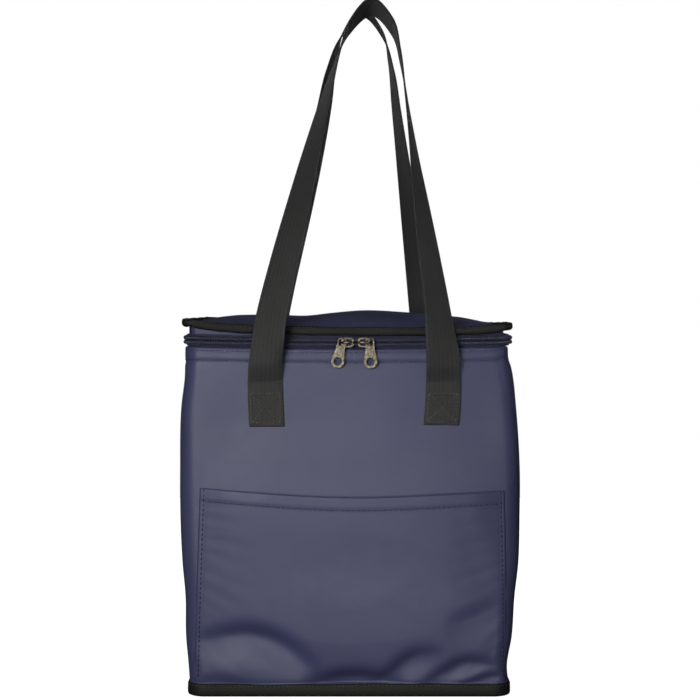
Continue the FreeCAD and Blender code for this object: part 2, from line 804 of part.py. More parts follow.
def strap_sections(route, side):
    """Rectangular sections along a handle. side is -1 for the front handle and 1 for the rear one."""
    points = [FreeCAD.Vector(x, side * lean_at(z), z) for x, z, _ in route]
    curve = Part.BSplineCurve()
    curve.interpolate(points)
    half_w, half_t = SIZE["webbing_width"] / 2, SIZE["webbing"] / 2
    sections = []
    for n, (here, after) in enumerate(zip(route, route[1:] + route[-1:])):
        last = n == len(route) - 1
        start = curve.parameter(points[n])
        end = start if last else curve.parameter(points[n + 1])
        for k in range(1 if last else SECTIONS_PER_SPAN):
            share = k / SECTIONS_PER_SPAN
            at = start + (end - start) * share
            twist = math.radians(here[2] + (after[2] - here[2]) * share)
            roll = math.radians(CROWN_ROLL) * math.sin(twist) ** 4
            along = curve.tangent(at)[0].normalize()
            if here[1] < SEWN_FLAT_TO:
                along = FreeCAD.Vector(0, 0, along.z).normalize()
            across = FreeCAD.Vector(
                math.cos(twist) * math.cos(roll),
                side * math.sin(twist) * math.cos(roll),
                math.sin(roll),
            )
            across = (across - along * across.dot(along)).normalize()
            out = along.cross(across).normalize()
            centre = curve.value(at)
            wide, thick = across * half_w, out * half_t
            corners = [centre - wide - thick, centre + wide - thick, centre + wide + thick, centre - wide + thick]
            sections.append(Part.makePolygon(corners + corners[:1]))
    return sections


def strap_solid(sections):
    return Part.makeLoft(sections, True, True)


def make_handles():
    """Each handle is one length of webbing, its ends folded double and sewn down. The rear one has a short root on
    each leg, because the lid pushes the whole handle back as it opens and the loop can also be laid back alone."""
    add_shape("front_handle_loop", strap_solid(strap_sections(FRONT_HANDLE, -1)))
    rear = strap_sections(REAR_HANDLE, 1)
    heights = [z for _, z, _ in REAR_HANDLE]
    left_top = heights.index(ROOT_TOP)
    right_top = len(heights) - 1 - heights[::-1].index(ROOT_TOP)
    legs = rear[: left_top * SECTIONS_PER_SPAN + 1], rear[right_top * SECTIONS_PER_SPAN :]
    add_shape("rear_handle_roots", Part.makeCompound([strap_solid(leg) for leg in legs]))
    loop = rear[(left_top + 1) * SECTIONS_PER_SPAN : (right_top - 1) * SECTIONS_PER_SPAN + 1]
    add_shape("rear_handle_loop", strap_solid(loop))
    centres = {
        "front": (-1, "dims.front_handle_shift"),
        "rear": (1, "0"),
    }
    for handle, (side, shift) in centres.items():
        for leg, sign in (("left", -1), ("right", 1)):
            name = f"{handle}_handle_end_{leg}"
            face = "dims.depth / 2 + dims.play / 2"
            y = face if side > 0 else f"-({face}) - dims.end_thickness"
            node(
                name,
                slab(
                    name,
                    f"{shift} + {sign} * dims.handle_spread / 2 - dims.webbing_width / 2",
                    y,
                    "dims.end_foot",
                    "dims.webbing_width",
                    "dims.end_thickness",
                    "dims.end_top - dims.end_foot - dims.end_play",
                ),
            )


def check():
    """Stop if any object failed, or any sub-part is empty or not valid."""
    doc.recompute()
    for thing in doc.Objects:
        if "Invalid" in thing.State or "Error" in thing.State:
            raise RuntimeError(f"{thing.Label} failed: {thing.State}")
    for name, thing in nodes.items():
        shape = thing.Shape
        if shape.isNull() or not shape.isValid() or not shape.Solids:
            raise RuntimeError(f"{name} has no valid solid")
        if min(solid.Volume for solid in shape.Solids) <= 0:
            raise RuntimeError(f"{name} is inside out")


def export():
    """One STEP file for each sub-part."""
    os.makedirs("parts", exist_ok=True)
    for old in os.listdir("parts"):
        if old.endswith(".step"):
            os.remove(os.path.join("parts", old))
    for name, thing in nodes.items():
        thing.Shape.exportStep(os.path.join("parts", f"{name}.step"))
        print(f"{name}: {len(thing.Shape.Solids)} solid(s), {thing.Shape.Volume:.0f} mm3")


make_sheet()
make_shell()
make_base()
make_walls_inside()
make_rim()
make_pocket()
make_zip()
make_slider("left", -1)
make_slider("right", 1)
make_lid()
make_handles()
check()
export()
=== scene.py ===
"""Looks of an insulated cooler bag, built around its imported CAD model.

Shapes are worked out in millimetres in the row's frame: +X to the viewer's right, -Y out of the front, +Z up.
"""

import math

import bpy
import numpy as np
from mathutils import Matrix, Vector


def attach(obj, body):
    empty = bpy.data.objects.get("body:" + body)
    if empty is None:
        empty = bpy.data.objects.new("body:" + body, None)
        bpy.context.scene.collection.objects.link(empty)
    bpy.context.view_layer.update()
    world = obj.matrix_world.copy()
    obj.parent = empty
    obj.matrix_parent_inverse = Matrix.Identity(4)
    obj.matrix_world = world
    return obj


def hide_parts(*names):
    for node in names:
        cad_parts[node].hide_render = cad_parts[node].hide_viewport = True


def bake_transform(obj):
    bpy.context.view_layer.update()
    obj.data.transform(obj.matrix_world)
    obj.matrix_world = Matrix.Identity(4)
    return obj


MM = 0.001
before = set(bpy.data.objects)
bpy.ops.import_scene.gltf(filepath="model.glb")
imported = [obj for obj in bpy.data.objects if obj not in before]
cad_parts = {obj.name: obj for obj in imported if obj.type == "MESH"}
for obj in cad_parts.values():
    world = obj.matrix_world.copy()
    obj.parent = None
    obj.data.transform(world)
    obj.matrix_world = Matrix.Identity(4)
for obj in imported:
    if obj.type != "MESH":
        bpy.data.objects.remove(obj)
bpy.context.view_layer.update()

# ---- the bag's measures, in millimetres ----

FRONT, BACK = -88.0, 88.0
CORNER_RADIUS = 12.5
SIDES = (96, 60, 90, 60)  # points along the front, right, back and left of each outline
# The body's left and right edges at each height: narrow at the base, full at the waist, drawn in at the top
LEFT_EDGE = [(0, -131.0), (10, -131.6), (23, -132.4), (49, -134.6), (82, -134.9), (109, -137.2),
             (150, -139.0), (189, -139.1), (241, -138.0), (268, -135.0), (280, -134.9), (292, -135.3)]
RIGHT_EDGE = [(0, 133.0), (10, 133.2), (23, 132.2), (49, 136.2), (82, 138.3), (109, 141.3), (150, 142.4),
              (189, 142.4), (241, 139.2), (268, 136.3), (280, 133.8), (292, 132.0)]
RIM_TOP, HEM_FOOT = 291.3, 279.5
ZIP_HEIGHT = 296.9
ZIP_LEFT, ZIP_RIGHT = -135.4, 135.2
COIL_PITCH = 1.35
RIM_SAG = 2.2  # the rim and the zip hang this much lower at the middle of each long side
HALF_WIDTH = 138.0
TAPE_INSET, CHAIN_INSET = 3.2, 1.4
TAPE_STEP = (4.6, 5.3)  # the distances from the chain's middle between which a tape steps in to the body
HEM_INSET = 0.7
BASE_HEIGHT = 10.6
# The folds fade out over these heights, at the foot and under the hem.
FADE_IN, FADE_OUT = (3, 10), (268, 282)
LINER_HALF_WIDTH, LINER_HALF_DEPTH = 131.0, 86.0
LINER_FOOT, MOUTH = 9.4, 281.0
ZIP_END_Y = 63.0
HINGE_HALF, HINGE_Y = 117.0, 88.5
HINGE_FOOT, HINGE_TOP = 286.0, 304.5

POCKET_FOOT = 9.0
POCKET_LEFT = [(0, -128.6), (90, -125.6), (176, -122.4)]
POCKET_RIGHT = [(0, 132.0), (90, 131.6), (176, 129.6)]
POCKET_TOP = [(-123, 174.6), (-80, 171.6), (-35, 168.6), (5, 167.4), (50, 168.4), (95, 170.6),
              (130, 172.4)]
POCKET_GAPE = 5.0
POCKET_SWELL_MOST = 3.0
POCKET_SHEET = (258, 164, 66, 44)  # the simulated sheet's width and height, and its points each way
HEM_DEPTH = 11.0
HEM_STEP = 0.5
STITCH_INSET = 4.2

# Soft folds pressed into the front: points (x, z), depth (below 0 stands out), and width
FOLDS = [
    ([(-134, 42), (-108, 49), (-82, 52), (-56, 44), (-36, 28), (-22, 6)], 8.2, 8.0),
    ([(-134, 10), (-112, 13), (-92, 10), (-70, 4)], 2.2, 5.0),
    ([(-40, 6), (-6, 13.5), (20, 13.5), (48, 6)], 10.5, 7.6),
    ([(16, 4), (36, 18), (54, 32), (82, 36)], 6.4, 6.6),
    ([(56, 2), (76, 16), (96, 27), (130, 24)], 6.0, 5.6),
    ([(82, 2), (102, 10), (122, 16), (146, 14)], 4.6, 4.0),
    ([(78, 58), (104, 66), (132, 78)], 2.4, 8.0),
    ([(74, 176), (98, 130), (114, 66)], 1.0, 13.0),
    ([(-108, 176), (-96, 214), (-106, 262)], 0.6, 12.0),
    ([(16, 268), (34, 236), (20, 196)], -0.8, 20.0),
    ([(98, 268), (112, 232), (104, 192)], 0.8, 12.0),
]
FRONT_SWELL = 4.5
SWELL_MIDDLE, SWELL_HALF = 112.0, 118.0
STEEP, GENTLE = 1.0, 2.4  # how wide the upper and the lower side of a fold are, as shares of its width
SIDE_SWELL, BACK_SWELL = 4.0, 2.0
CLOTH = 0.9  # thickness of the coated fabric

# The cloth simulation's pressure, slack and length
SIM_PRESSURE, SIM_SLACK, SIM_FRAMES = 4.0, 0.002, 20

# ---- handles ----

WEBBING_WIDTH, WEBBING = 29.0, 1.5
HANDLE_TOP = 259.0
# Each sewn end's height at the fold, and how far the fold stands to the right
SEWN_ENDS = {"left": (225.6, 1.3), "right": (227.0, -1.9)}
SEWN_STANDOFF = 90.5
STRAP_LEAN = [(259, 90.4), (261.5, 90.8), (268, 94.6), (273.7, 98.4), (275.7, 99.4), (287, 102.2),
              (315, 103.0), (335, 101.4), (371, 91.0), (413, 75.0), (457, 59.0), (501, 44.6), (537, 32.0),
              (563, 23.5), (582, 16.5)]
LEG_HEIGHTS = [259, 261.5, 268, 275.7, 287, 315, 335, 371, 413, 457, 501, 537, 563]
ROUTE_HEIGHTS = [*LEG_HEIGHTS, 582, *LEG_HEIGHTS[::-1]]
# The route of each strap at those heights, left foot to right foot over the crown: (x, twist in degrees)
FRONT_HANDLE = [(-68.3, 0), (-68.3, 0), (-67.8, 3), (-67.3, 8), (-66.2, 16), (-62.9, 27), (-58.6, 29),
                (-50.0, 33), (-40.2, 43), (-29.9, 54), (-19.0, 66), (-9.0, 77), (1.0, 84), (20.5, 90),
                (38.5, 91), (44.8, 93), (49.6, 98), (55.2, 107), (60.7, 120), (66.3, 130), (71.6, 136),
                (74.4, 140), (77.4, 159), (78.4, 170), (78.8, 176), (78.9, 180), (78.9, 180)]
REAR_HANDLE = [(-73.6, 0), (-73.6, 0), (-73.2, 3), (-72.6, 8), (-71.4, 16), (-68.0, 27), (-63.6, 30),
               (-54.5, 35), (-43.0, 44), (-31.6, 53), (-21.6, 62), (-14.5, 72), (-5.5, 82), (13.0, 90),
               (31.0, 92), (38.2, 99), (43.2, 106), (49.4, 114), (56.0, 124), (62.2, 134), (67.0, 142),
               (69.6, 148), (72.4, 161), (73.1, 170), (73.5, 176), (73.6, 180), (73.6, 180)]
CROWN_ROLL = 24.0
REAR_SPLIT = 267.0  # height at which the rear strap's ends meet its loop
FRONT_CURLS = [("left", 1, 284, 17, 6.0), ("right", -1, 270, 8, 1.6), ("right", 1, 298, 22, 3.4)]

# ---- lid ----

LID_CORNERS = [(-133.6, -88.8), (132.4, -88.8), (127.5, 89.0), (-128.5, 89.0)]
LID_RADIUS = 9.0
# Height of the lid's bound edge along the front and along the back
LID_FRONT = [(-138, 311.4), (-130, 310.6), (-112, 307.8), (-80, 305.6), (-30, 304.2), (20, 303.7),
             (80, 304.0), (110, 305.0), (126, 306.8), (138, 309.2)]
LID_BACK = [(-138, 310.4), (-110, 309.4), (0, 308.0), (110, 305.6), (138, 305.2)]
# Height of the padded top from left to right, along its middle
LID_CROWN = [(-134, 310.5), (-124, 312.2), (-100, 314.6), (-64, 316.2), (-38, 315.6), (-14, 318.2),
             (13, 320.4), (50, 318.6), (87, 314.6), (110, 311.2), (124, 308.6), (134, 306.6)]
LID_SWELL_MOST = 4.0
LID_SHEET = (268, 178, 68, 46)  # the simulated sheet's width and depth, and its points each way
LID_EAR = 3.4
LID_BINDING_HEIGHT, LID_BINDING_THICK = 7.4, 4.0

# Each slider's x, its pull's lean in degrees, and its outer side
SLIDERS = {"left": (-0.1, 13.0, -1), "right": (13.4, -1.5, 1)}
PULL_REACH, PULL_RING, PULL_HOLE = 15.9, 5.8, 3.2
PULL_EYE = [(-1.7, 2.5), (1.7, 2.5), (2.3, 1.9), (2.3, -1.9), (1.7, -2.5), (-1.7, -2.5), (-2.3, -1.9),
            (-2.3, 1.9)]
PULL_SHIELD = [(-2.2, -3.2), (2.2, -3.2), (2.9, -10.6), (-2.9, -10.6)]
PIVOT_OUT = 4.8  # how far each pull's pivot is to the outer side of its slider
# Half of the arch's route over a slider, as (x from its middle, y from the bag's front)
ARCH_HALF = [(-4.9, -2.6), (-4.7, -4.3), (-3.9, -5.4), (-2.4, -6.0), (0, -6.2)]

FLOOR_RADIUS = 1400.0


# ---- building blocks ----


def smooth(table, at):
    """Values on a smooth curve through a table of (place, value) rows."""
    xs, ys = (np.array(column, float) for column in zip(*table))
    slopes = np.gradient(ys, xs)
    at = np.clip(np.asarray(at, float), xs[0], xs[-1])
    i = np.clip(np.searchsorted(xs, at) - 1, 0, len(xs) - 2)
    width = xs[i + 1] - xs[i]
    t = (at - xs[i]) / width
    return (
        ys[i] * (1 + 2 * t) * (1 - t) ** 2
        + slopes[i] * width * t * (1 - t) ** 2
        + ys[i + 1] * t**2 * (3 - 2 * t)
        + slopes[i + 1] * width * t**2 * (t - 1)
    )


def step_up(value, low, high):
    """0 below low, 1 above high, and a smooth rise between."""
    t = np.clip((np.asarray(value, float) - low) / (high - low), 0, 1)
    return t * t * (3 - 2 * t)


def unit(vectors):
    """Vectors scaled to length 1."""
    return vectors / np.maximum(np.linalg.norm(vectors, axis=-1, keepdims=True), 1e-9)


def turns(count):
    """Angles once round a circle."""
    return np.linspace(0, 2 * math.pi, count + 1)[:-1]


def lengths(points):
    """How far along a line each of its points is."""
    return np.concatenate([[0], np.cumsum(np.linalg.norm(np.diff(points, axis=0), axis=1))])


def read_along(places, along, values):
    """Values given along a line, read at other places along it."""
    return np.stack([np.interp(places, along, column) for column in np.transpose(values)], axis=1)


def make_mesh(name, points, faces, uv=None):
    """A mesh object from points in millimetres. uv, one pair for each point, is in millimetres too."""
    mesh = bpy.data.meshes.new(name)
    mesh.from_pydata((np.asarray(points, float).reshape(-1, 3) * MM).tolist(), [], faces)
    if uv is not None:
        layer = mesh.uv_layers.new(name="cloth")
        corners = np.zeros(len(mesh.loops), np.int32)
        mesh.loops.foreach_get("vertex_index", corners)
        layer.data.foreach_set("uv", np.asarray(uv, np.float32).reshape(-1, 2)[corners].ravel())
    mesh.polygons.foreach_set("use_smooth", [True] * len(mesh.polygons))
    mesh.update()
    piece = bpy.data.objects.new(name, mesh)
    bpy.context.scene.collection.objects.link(piece)
    return piece


def grid_faces(rows, columns, wrap_columns=False, wrap_rows=False):
    """Quads over a grid of points that are listed row by row."""
    faces = []
    for r in range(rows if wrap_rows else rows - 1):
        for c in range(columns if wrap_columns else columns - 1):
            r2, c2 = (r + 1) % rows, (c + 1) % columns
            faces.append([a * columns + b for a, b in ((r, c), (r, c2), (r2, c2), (r2, c))])
    return faces


def tube_faces(rows, columns, first=True):
    """Quads round a tube whose rings are listed in turn. Its last end is closed, and its first if asked."""
    faces = grid_faces(rows, columns, wrap_columns=True)
    if first:
        faces.append(list(range(columns))[::-1])
    faces.append([(rows - 1) * columns + c for c in range(columns)])
    return faces


def sweep(name, centres, across, out, profile, closed=False, uv_profile=None):
    """Carries a closed profile of (across, out) points along a line. uv runs across it and along the line."""
    profile = np.asarray(profile, float)
    if profile.ndim == 2:
        profile = np.broadcast_to(profile, (len(centres), *profile.shape))
    points = centres[:, None] + across[:, None] * profile[..., :1] + out[:, None] * profile[..., 1:]
    rows, columns = points.shape[:2]
    faces = grid_faces(rows, columns, True, True) if closed else tube_faces(rows, columns)
    uv = np.zeros((rows, columns, 2))
    uv[..., 0] = profile[0, :, 0] if uv_profile is None else uv_profile
    uv[..., 1] = lengths(centres)[:, None]
    return make_mesh(name, points, faces, uv)


def rounded_loop(corners, radius, side_points, arc_points=8):
    """Points and outward directions round a four-cornered outline, anticlockwise from its front left corner.
    side_points has the number of points on each side, so that outlines of different sizes match."""
    corners = np.asarray(corners, float)
    arcs = []
    for n, corner in enumerate(corners):
        before = unit(corner - corners[n - 1])
        after = unit(corners[(n + 1) % len(corners)] - corner)
        start, end = (np.array([d[1], -d[0]]) for d in (before, after))
        reach = radius * math.tan(math.acos(np.clip(before @ after, -1, 1)) / 2)
        centre = corner - before * reach - start * radius
        shares = np.linspace(0, 1, arc_points + 1)[:, None]
        normals = unit(start * (1 - shares) + end * shares)
        arcs.append((centre + normals * radius, normals))
    points, normals = [], []
    for n, (arc, directions) in enumerate(arcs):
        first, last = arc[-1], arcs[(n + 1) % len(arcs)][0][0]
        shares = np.linspace(0, 1, side_points[n] + 2)[1:-1, None]
        points += [arc, first + (last - first) * shares]
        normals += [directions, np.broadcast_to(directions[-1], (len(shares), 2))]
    return np.concatenate(points), np.concatenate(normals)


def lift(points, height):
    """Points on the ground plan raised to a height, one number or one for each."""
    return np.concatenate([points, np.broadcast_to(height, (len(points),))[:, None]], axis=1)


def finish_piece(piece, body, look, replaced=(), inside=None):
    """Gives a piece its look's material and its body, and hides the CAD nodes it stands for. A piece that
    bends has no one body.
    inside is a second look, for the faces that are given it later."""
    material, slot = look
    piece.data.materials.append(material)
    if inside:
        piece.data.materials.append(inside[0])
    if body:
        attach(piece, body)
    if replaced:
        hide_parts(*replaced)


def thicken(piece, side):
    """Gives a sheet the cloth's thickness, on its outer side (1) or its inner side (-1)."""
    solid = piece.modifiers.new("thickness", "SOLIDIFY")
    solid.thickness, solid.offset = CLOTH * MM, side


def close(line):
    """A line carried on to its first point."""
    return np.vstack([line, line[:1]])


def loop_frames(points, normals, heights):
    """The centres of a loop at some height, with the directions out of it and up."""
    centres = lift(points, heights)
    out = np.concatenate([normals, np.zeros((len(normals), 1))], axis=1)
    up = np.broadcast_to([0.0, 0.0, 1.0], out.shape)
    return centres, out, up


def make_band(name, points, normals, heights, profile, body, look, node):
    """A band round a loop, with a profile of (out, up), for one CAD node. Returns the loop's frames."""
    centres, out, up = loop_frames(points, normals, heights)
    band = sweep(name, centres, out, up, profile, closed=True)
    finish_piece(band, body, look, (node,))
    return centres, out, up


# ---- materials ----


class Graph:
    """A material and short calls for making its nodes."""

    def __init__(self, name, colour, roughness, **values):
        self.material = bpy.data.materials.new(name)
        self.material.use_nodes = True
        self.tree = self.material.node_tree
        self.shader = self.tree.nodes["Principled BSDF"]
        self.shader.inputs["Base Color"].default_value = (*colour, 1)
        self.shader.inputs["Roughness"].default_value = roughness
        for key, value in values.items():
            self.shader.inputs[key.replace("_", " ")].default_value = value

    def node(self, kind, inputs=None, **settings):
        made = self.tree.nodes.new(f"ShaderNode{kind}")
        for key, value in settings.items():
            setattr(made, key, value)
        for key, value in (inputs or {}).items():
            if isinstance(value, bpy.types.NodeSocket):
                self.tree.links.new(value, made.inputs[key])
            else:
                made.inputs[key].default_value = value
        return made

    def place(self):
        """Where a point is on the piece, in metres."""
        return self.node("TexCoord").outputs["Object"]

    def cloth(self):
        """Where a point is on the cloth, as (across, along), in millimetres."""
        split = self.node("SeparateXYZ", {"Vector": self.node("TexCoord").outputs["UV"]})
        return split.outputs["X"], split.outputs["Y"]

    def math(self, operation, a, b=0.0):
        return self.node("Math", {0: a, 1: b}, operation=operation).outputs[0]

    def noise(self, size, detail):
        """Noise from 0 to 1 whose features are about size millimetres across."""
        inputs = {"Vector": self.place(), "Scale": 1 / (size * MM), "Detail": detail}
        return self.node("TexNoise", inputs).outputs["Fac"]

    def cells(self, size, **settings):
        """Relief of cells about size millimetres across."""
        inputs = {"Vector": self.place(), "Scale": 1 / (size * MM)}
        return self.node("TexVoronoi", inputs, **settings).outputs["Distance"]

    def spread(self, value, low, high):
        """A 0 to 1 value moved to run from low to high."""
        return self.node("MapRange", {"Value": value, "To Min": low, "To Max": high}).outputs[0]

    def tint(self, value, first, second, low=0.3, high=0.7):
        """Colours the piece by a value, from the first colour at low to the second at high."""
        ramp = self.node("ValToRGB", {"Fac": value})
        for element, place, colour in zip(ramp.color_ramp.elements, (low, high), (first, second)):
            element.position = place
            element.color = (*colour, 1)
        self.link(ramp.outputs["Color"], "Base Color")

    def bump(self, *layers):
        """Relief from layers of (height from 0 to 1, depth in millimetres), one over the other."""
        normal = None
        for height, depth in layers:
            inputs = {"Height": height, "Distance": depth * MM, "Strength": 1.0}
            if normal is not None:
                inputs["Normal"] = normal
            normal = self.node("Bump", inputs).outputs[0]
        self.tree.links.new(normal, self.shader.inputs["Normal"])

    def link(self, output, name):
        self.tree.links.new(output, self.shader.inputs[name])


def coated_fabric():
    """Smooth polyurethane-coated cloth: a fine grain, slow colour drift and a soft sheen."""
    g = Graph("coated_fabric", (0.05, 0.053, 0.098), 0.5, Specular_IOR_Level=0.42)
    g.tint(g.noise(70, 3), (0.046, 0.049, 0.110), (0.052, 0.055, 0.122))
    g.link(g.spread(g.noise(9, 4), 0.44, 0.56), "Roughness")
    g.bump((g.cells(0.55), 0.012), (g.noise(1.4, 4), 0.03), (g.noise(26, 2), 0.25))
    return g.material


def webbing():
    """Black polypropylene webbing woven in a herringbone, with a plain edge. Its colour is painted shade and
    highlight, darker in the weave's hollows and between its columns and lighter on its ribs, over a random
    fibre tone.
    """
    sheen = {"Sheen_Weight": 0.12, "Sheen_Roughness": 0.4}
    g = Graph("webbing", (0.02, 0.02, 0.02), 0.62, Specular_IOR_Level=0.3, **sheen)
    across, along = g.cloth()
    zigzag = g.math("PINGPONG", across, 1.9)
    phase = g.math("ADD", g.math("MULTIPLY", along, 1 / 1.25), g.math("MULTIPLY", zigzag, 0.62))
    rib = g.spread(g.math("SINE", g.math("MULTIPLY", phase, 2 * math.pi)), 0.0, 1.0)
    rib.node.inputs["From Min"].default_value = -1.0
    warp = g.math("PINGPONG", across, 0.32)
    fuzz = g.noise(0.5, 4)
    column = g.math("MULTIPLY", zigzag, 0.06)
    # Painted shade and highlight: the colour follows the ribs and the columns' zigzag, dark in the hollows
    # and light on the crests; the fuzz adds a random fibre tone.
    painted_shade_and_tone = g.math("ADD", g.math("ADD", g.math("MULTIPLY", rib, 0.5), g.math("MULTIPLY", fuzz, 0.45)), column)
    g.tint(painted_shade_and_tone, (0.009, 0.009, 0.009), (0.058, 0.058, 0.056), 0.22, 0.85)
    g.bump((rib, 0.16), (warp, 0.1), (fuzz, 0.05))
    return g.material


def binding_tape():
    """Black grosgrain: fine ribs across the tape, coloured with painted shade in the hollows between the ribs
    and painted highlight on their crests, over a random fibre tone.
    """
    g = Graph("binding_tape", (0.014, 0.013, 0.012), 0.6, Specular_IOR_Level=0.3)
    _, along = g.cloth()
    rib = g.math("PINGPONG", along, 0.52)
    fuzz = g.noise(0.6, 4)
    painted_shade_and_tone = g.math("ADD", g.math("MULTIPLY", rib, 0.9), g.math("MULTIPLY", fuzz, 0.5))
    # Painted shade and highlight: dark between the ribs and light on them, with a random fibre tone from the
    # fuzz.
    g.tint(painted_shade_and_tone, (0.003, 0.003, 0.0026), (0.013, 0.012, 0.010), 0.2, 0.85)
    g.bump((rib, 0.24), (fuzz, 0.06))
    return g.material


def zip_tape():
    """Woven navy tape."""
    g = Graph("zip_tape", (0.03, 0.031, 0.06), 0.7, Specular_IOR_Level=0.3)
    across, along = g.cloth()
    weave = g.math("MULTIPLY", g.math("PINGPONG", along, 0.3), g.math("PINGPONG", across, 0.3))
    g.tint(g.noise(0.8, 3), (0.022, 0.023, 0.05), (0.036, 0.038, 0.072))
    g.bump((weave, 0.3))
    return g.material


def zip_coil():
    """Dyed nylon monofilament, coloured with painted shade between its turns and lighter on them, over a
    random tone.
    """
    g = Graph("zip_coil", (0.03, 0.031, 0.06), 0.4, Specular_IOR_Level=0.45)
    _, along = g.cloth()
    turn = g.math("PINGPONG", along, COIL_PITCH / 2)
    # Painted shade: dark between the coil's turns and lighter on them; the noise is a random tone.
    painted_shade_and_tone = g.math("ADD", g.math("MULTIPLY", turn, 1.4), g.math("MULTIPLY", g.noise(2.0, 3), 0.3))
    g.tint(painted_shade_and_tone, (0.046, 0.048, 0.086), (0.007, 0.007, 0.018), 0.15, 0.95)
    g.bump((g.noise(0.4, 3), 0.02))
    return g.material


def nickel():
    """Antique nickel: warm grey metal, darker where the plating is thin."""
    g = Graph("nickel", (0.5, 0.46, 0.4), 0.3, Metallic=1.0)
    wear = g.noise(2.2, 5)
    g.tint(wear, (0.07, 0.058, 0.04), (0.22, 0.195, 0.15), 0.34, 0.66)
    g.link(g.spread(wear, 0.42, 0.22), "Roughness")
    g.bump((g.noise(0.7, 4), 0.03))
    return g.material


def thread(name, dark, light):
    """Twisted sewing thread."""
    g = Graph(name, dark, 0.55)
    g.tint(g.noise(0.5, 2), dark, light, 0.35, 0.65)
    g.bump((g.noise(0.35, 2), 0.05))
    return g.material


def foil():
    """Aluminised liner film, creased all over."""
    g = Graph("foil", (0.74, 0.75, 0.77), 0.34, Metallic=0.55)
    g.tint(g.noise(18, 4), (0.66, 0.67, 0.69), (0.8, 0.81, 0.83))
    g.link(g.spread(g.noise(5, 3), 0.26, 0.44), "Roughness")
    g.bump((g.cells(13, feature="F2"), 1.1), (g.noise(4, 5), 0.35))
    return g.material


def foam():
    """White closed-cell foam."""
    g = Graph("foam", (0.82, 0.82, 0.8), 0.8)
    g.tint(g.noise(6, 3), (0.76, 0.76, 0.74), (0.86, 0.86, 0.84))
    g.bump((g.cells(1.2), 0.15))
    return g.material


def floor_paper():
    """Matt white paper sweep."""
    g = Graph("floor_paper", (0.5, 0.5, 0.5), 0.9, Specular_IOR_Level=0.0, Emission_Strength=0.93)
    g.shader.inputs["Emission Color"].default_value = (1, 1, 1, 1)
    g.tint(g.noise(400, 2), (0.50, 0.50, 0.50), (0.54, 0.54, 0.54))
    g.bump((g.noise(3, 3), 0.02))
    return g.material


# A look is a material and the slot it stands in.
FABRIC = (coated_fabric(), "coated_fabric")
WEBBING_CLOTH = (webbing(), "webbing")
TAPE = (binding_tape(), "binding_tape")
ZIP_TAPE = (zip_tape(), "zip_tape")
COIL = (zip_coil(), "zip_coil")
METAL = (nickel(), "pull_metal")
FOIL = (foil(), "foil")
FOAM = (foam(), "foil")
NAVY_THREAD = (thread("navy_thread", (0.008, 0.008, 0.028), (0.035, 0.036, 0.085)), "coated_fabric")
BLACK_THREAD = (thread("black_thread", (0.018, 0.018, 0.015), (0.06, 0.056, 0.046)), "webbing")
BROWN_THREAD = (thread("brown_black_thread", (0.034, 0.030, 0.022), (0.12, 0.105, 0.078)), "webbing")


# ---- cloth simulation ----


def swollen_sheet(width, depth, columns, rows, top_free):
    """Simulates a flat sheet held at its edges and pushed from behind. Returns how far each point swells, in
    millimetres, row by row from the bottom. top_free leaves its top edge loose."""
    x, y = np.meshgrid(np.linspace(0, width, columns), np.linspace(0, depth, rows))
    flat = np.stack([x.ravel(), y.ravel(), np.zeros(x.size)], axis=1)
    piece = make_mesh("simulated_sheet", flat, grid_faces(rows, columns))
    held = (x == 0) | (x == width) | (y == 0)
    if not top_free:
        held |= y == depth
    piece.vertex_groups.new(name="held").add(np.flatnonzero(held).tolist(), 1.0, "REPLACE")
    cloth = piece.modifiers.new("cloth", "CLOTH")
    cloth.settings.vertex_group_mass = "held"
    cloth.settings.use_pressure = True
    cloth.settings.uniform_pressure_force = SIM_PRESSURE
    cloth.settings.shrink_min = -SIM_SLACK
    cloth.settings.effector_weights.gravity = 0
    cloth.point_cache.frame_start, cloth.point_cache.frame_end = 1, SIM_FRAMES
    for frame_number in range(1, SIM_FRAMES + 1):
        bpy.context.scene.frame_set(frame_number)
    moved = piece.evaluated_get(bpy.context.evaluated_depsgraph_get()).data
    points = np.zeros(len(flat) * 3)
    moved.vertices.foreach_get("co", points)
    bpy.data.objects.remove(piece)
    bpy.context.scene.frame_set(1)
    return points.reshape(rows, columns, 3)[..., 2] / MM


def sample(field, across, up):
    """Values of a grid of numbers at shares of its width and height."""
    rows, columns = field.shape
    a = np.clip(across, 0, 1) * (columns - 1)
    b = np.clip(up, 0, 1) * (rows - 1)
    i, j = np.minimum(a.astype(int), columns - 2), np.minimum(b.astype(int), rows - 2)
    a, b = a - i, b - j
    low = field[j, i] * (1 - a) + field[j, i + 1] * a
    high = field[j + 1, i] * (1 - a) + field[j + 1, i + 1] * a
    return low * (1 - b) + high * b


# ---- the body ----


def distance_to(x, z, path):
    """Distance from each point to a line through the path's points, above 0 on the line's left-hand side, and
    how far along the line the nearest place is, from 0 to 1."""
    nearest, share = np.full(np.shape(x), 1e9), np.zeros(np.shape(x))
    for n, ((x1, z1), (x2, z2)) in enumerate(zip(path, path[1:])):
        run = np.array([x2 - x1, z2 - z1], float)
        t = np.clip(((x - x1) * run[0] + (z - z1) * run[1]) / (run @ run), 0, 1)
        away = np.hypot(x - x1 - t * run[0], z - z1 - t * run[1])
        side = np.where(run[0] * (z - z1) - run[1] * (x - x1) > 0, 1, -1)
        closer = away < np.abs(nearest)
        nearest = np.where(closer, away * side, nearest)
        share = np.where(closer, (n + t) / (len(path) - 1), share)
    return nearest, share


def curve_through(points, count=28):
    """Close points on a smooth curve through a few."""
    points = np.array(points, float)
    along = lengths(points)
    places = np.linspace(0, along[-1], count)
    return list(zip(*(smooth(list(zip(along, column)), places) for column in points.T)))


SMOOTH_FOLDS = [(curve_through(path), depth, width) for path, depth, width in FOLDS]


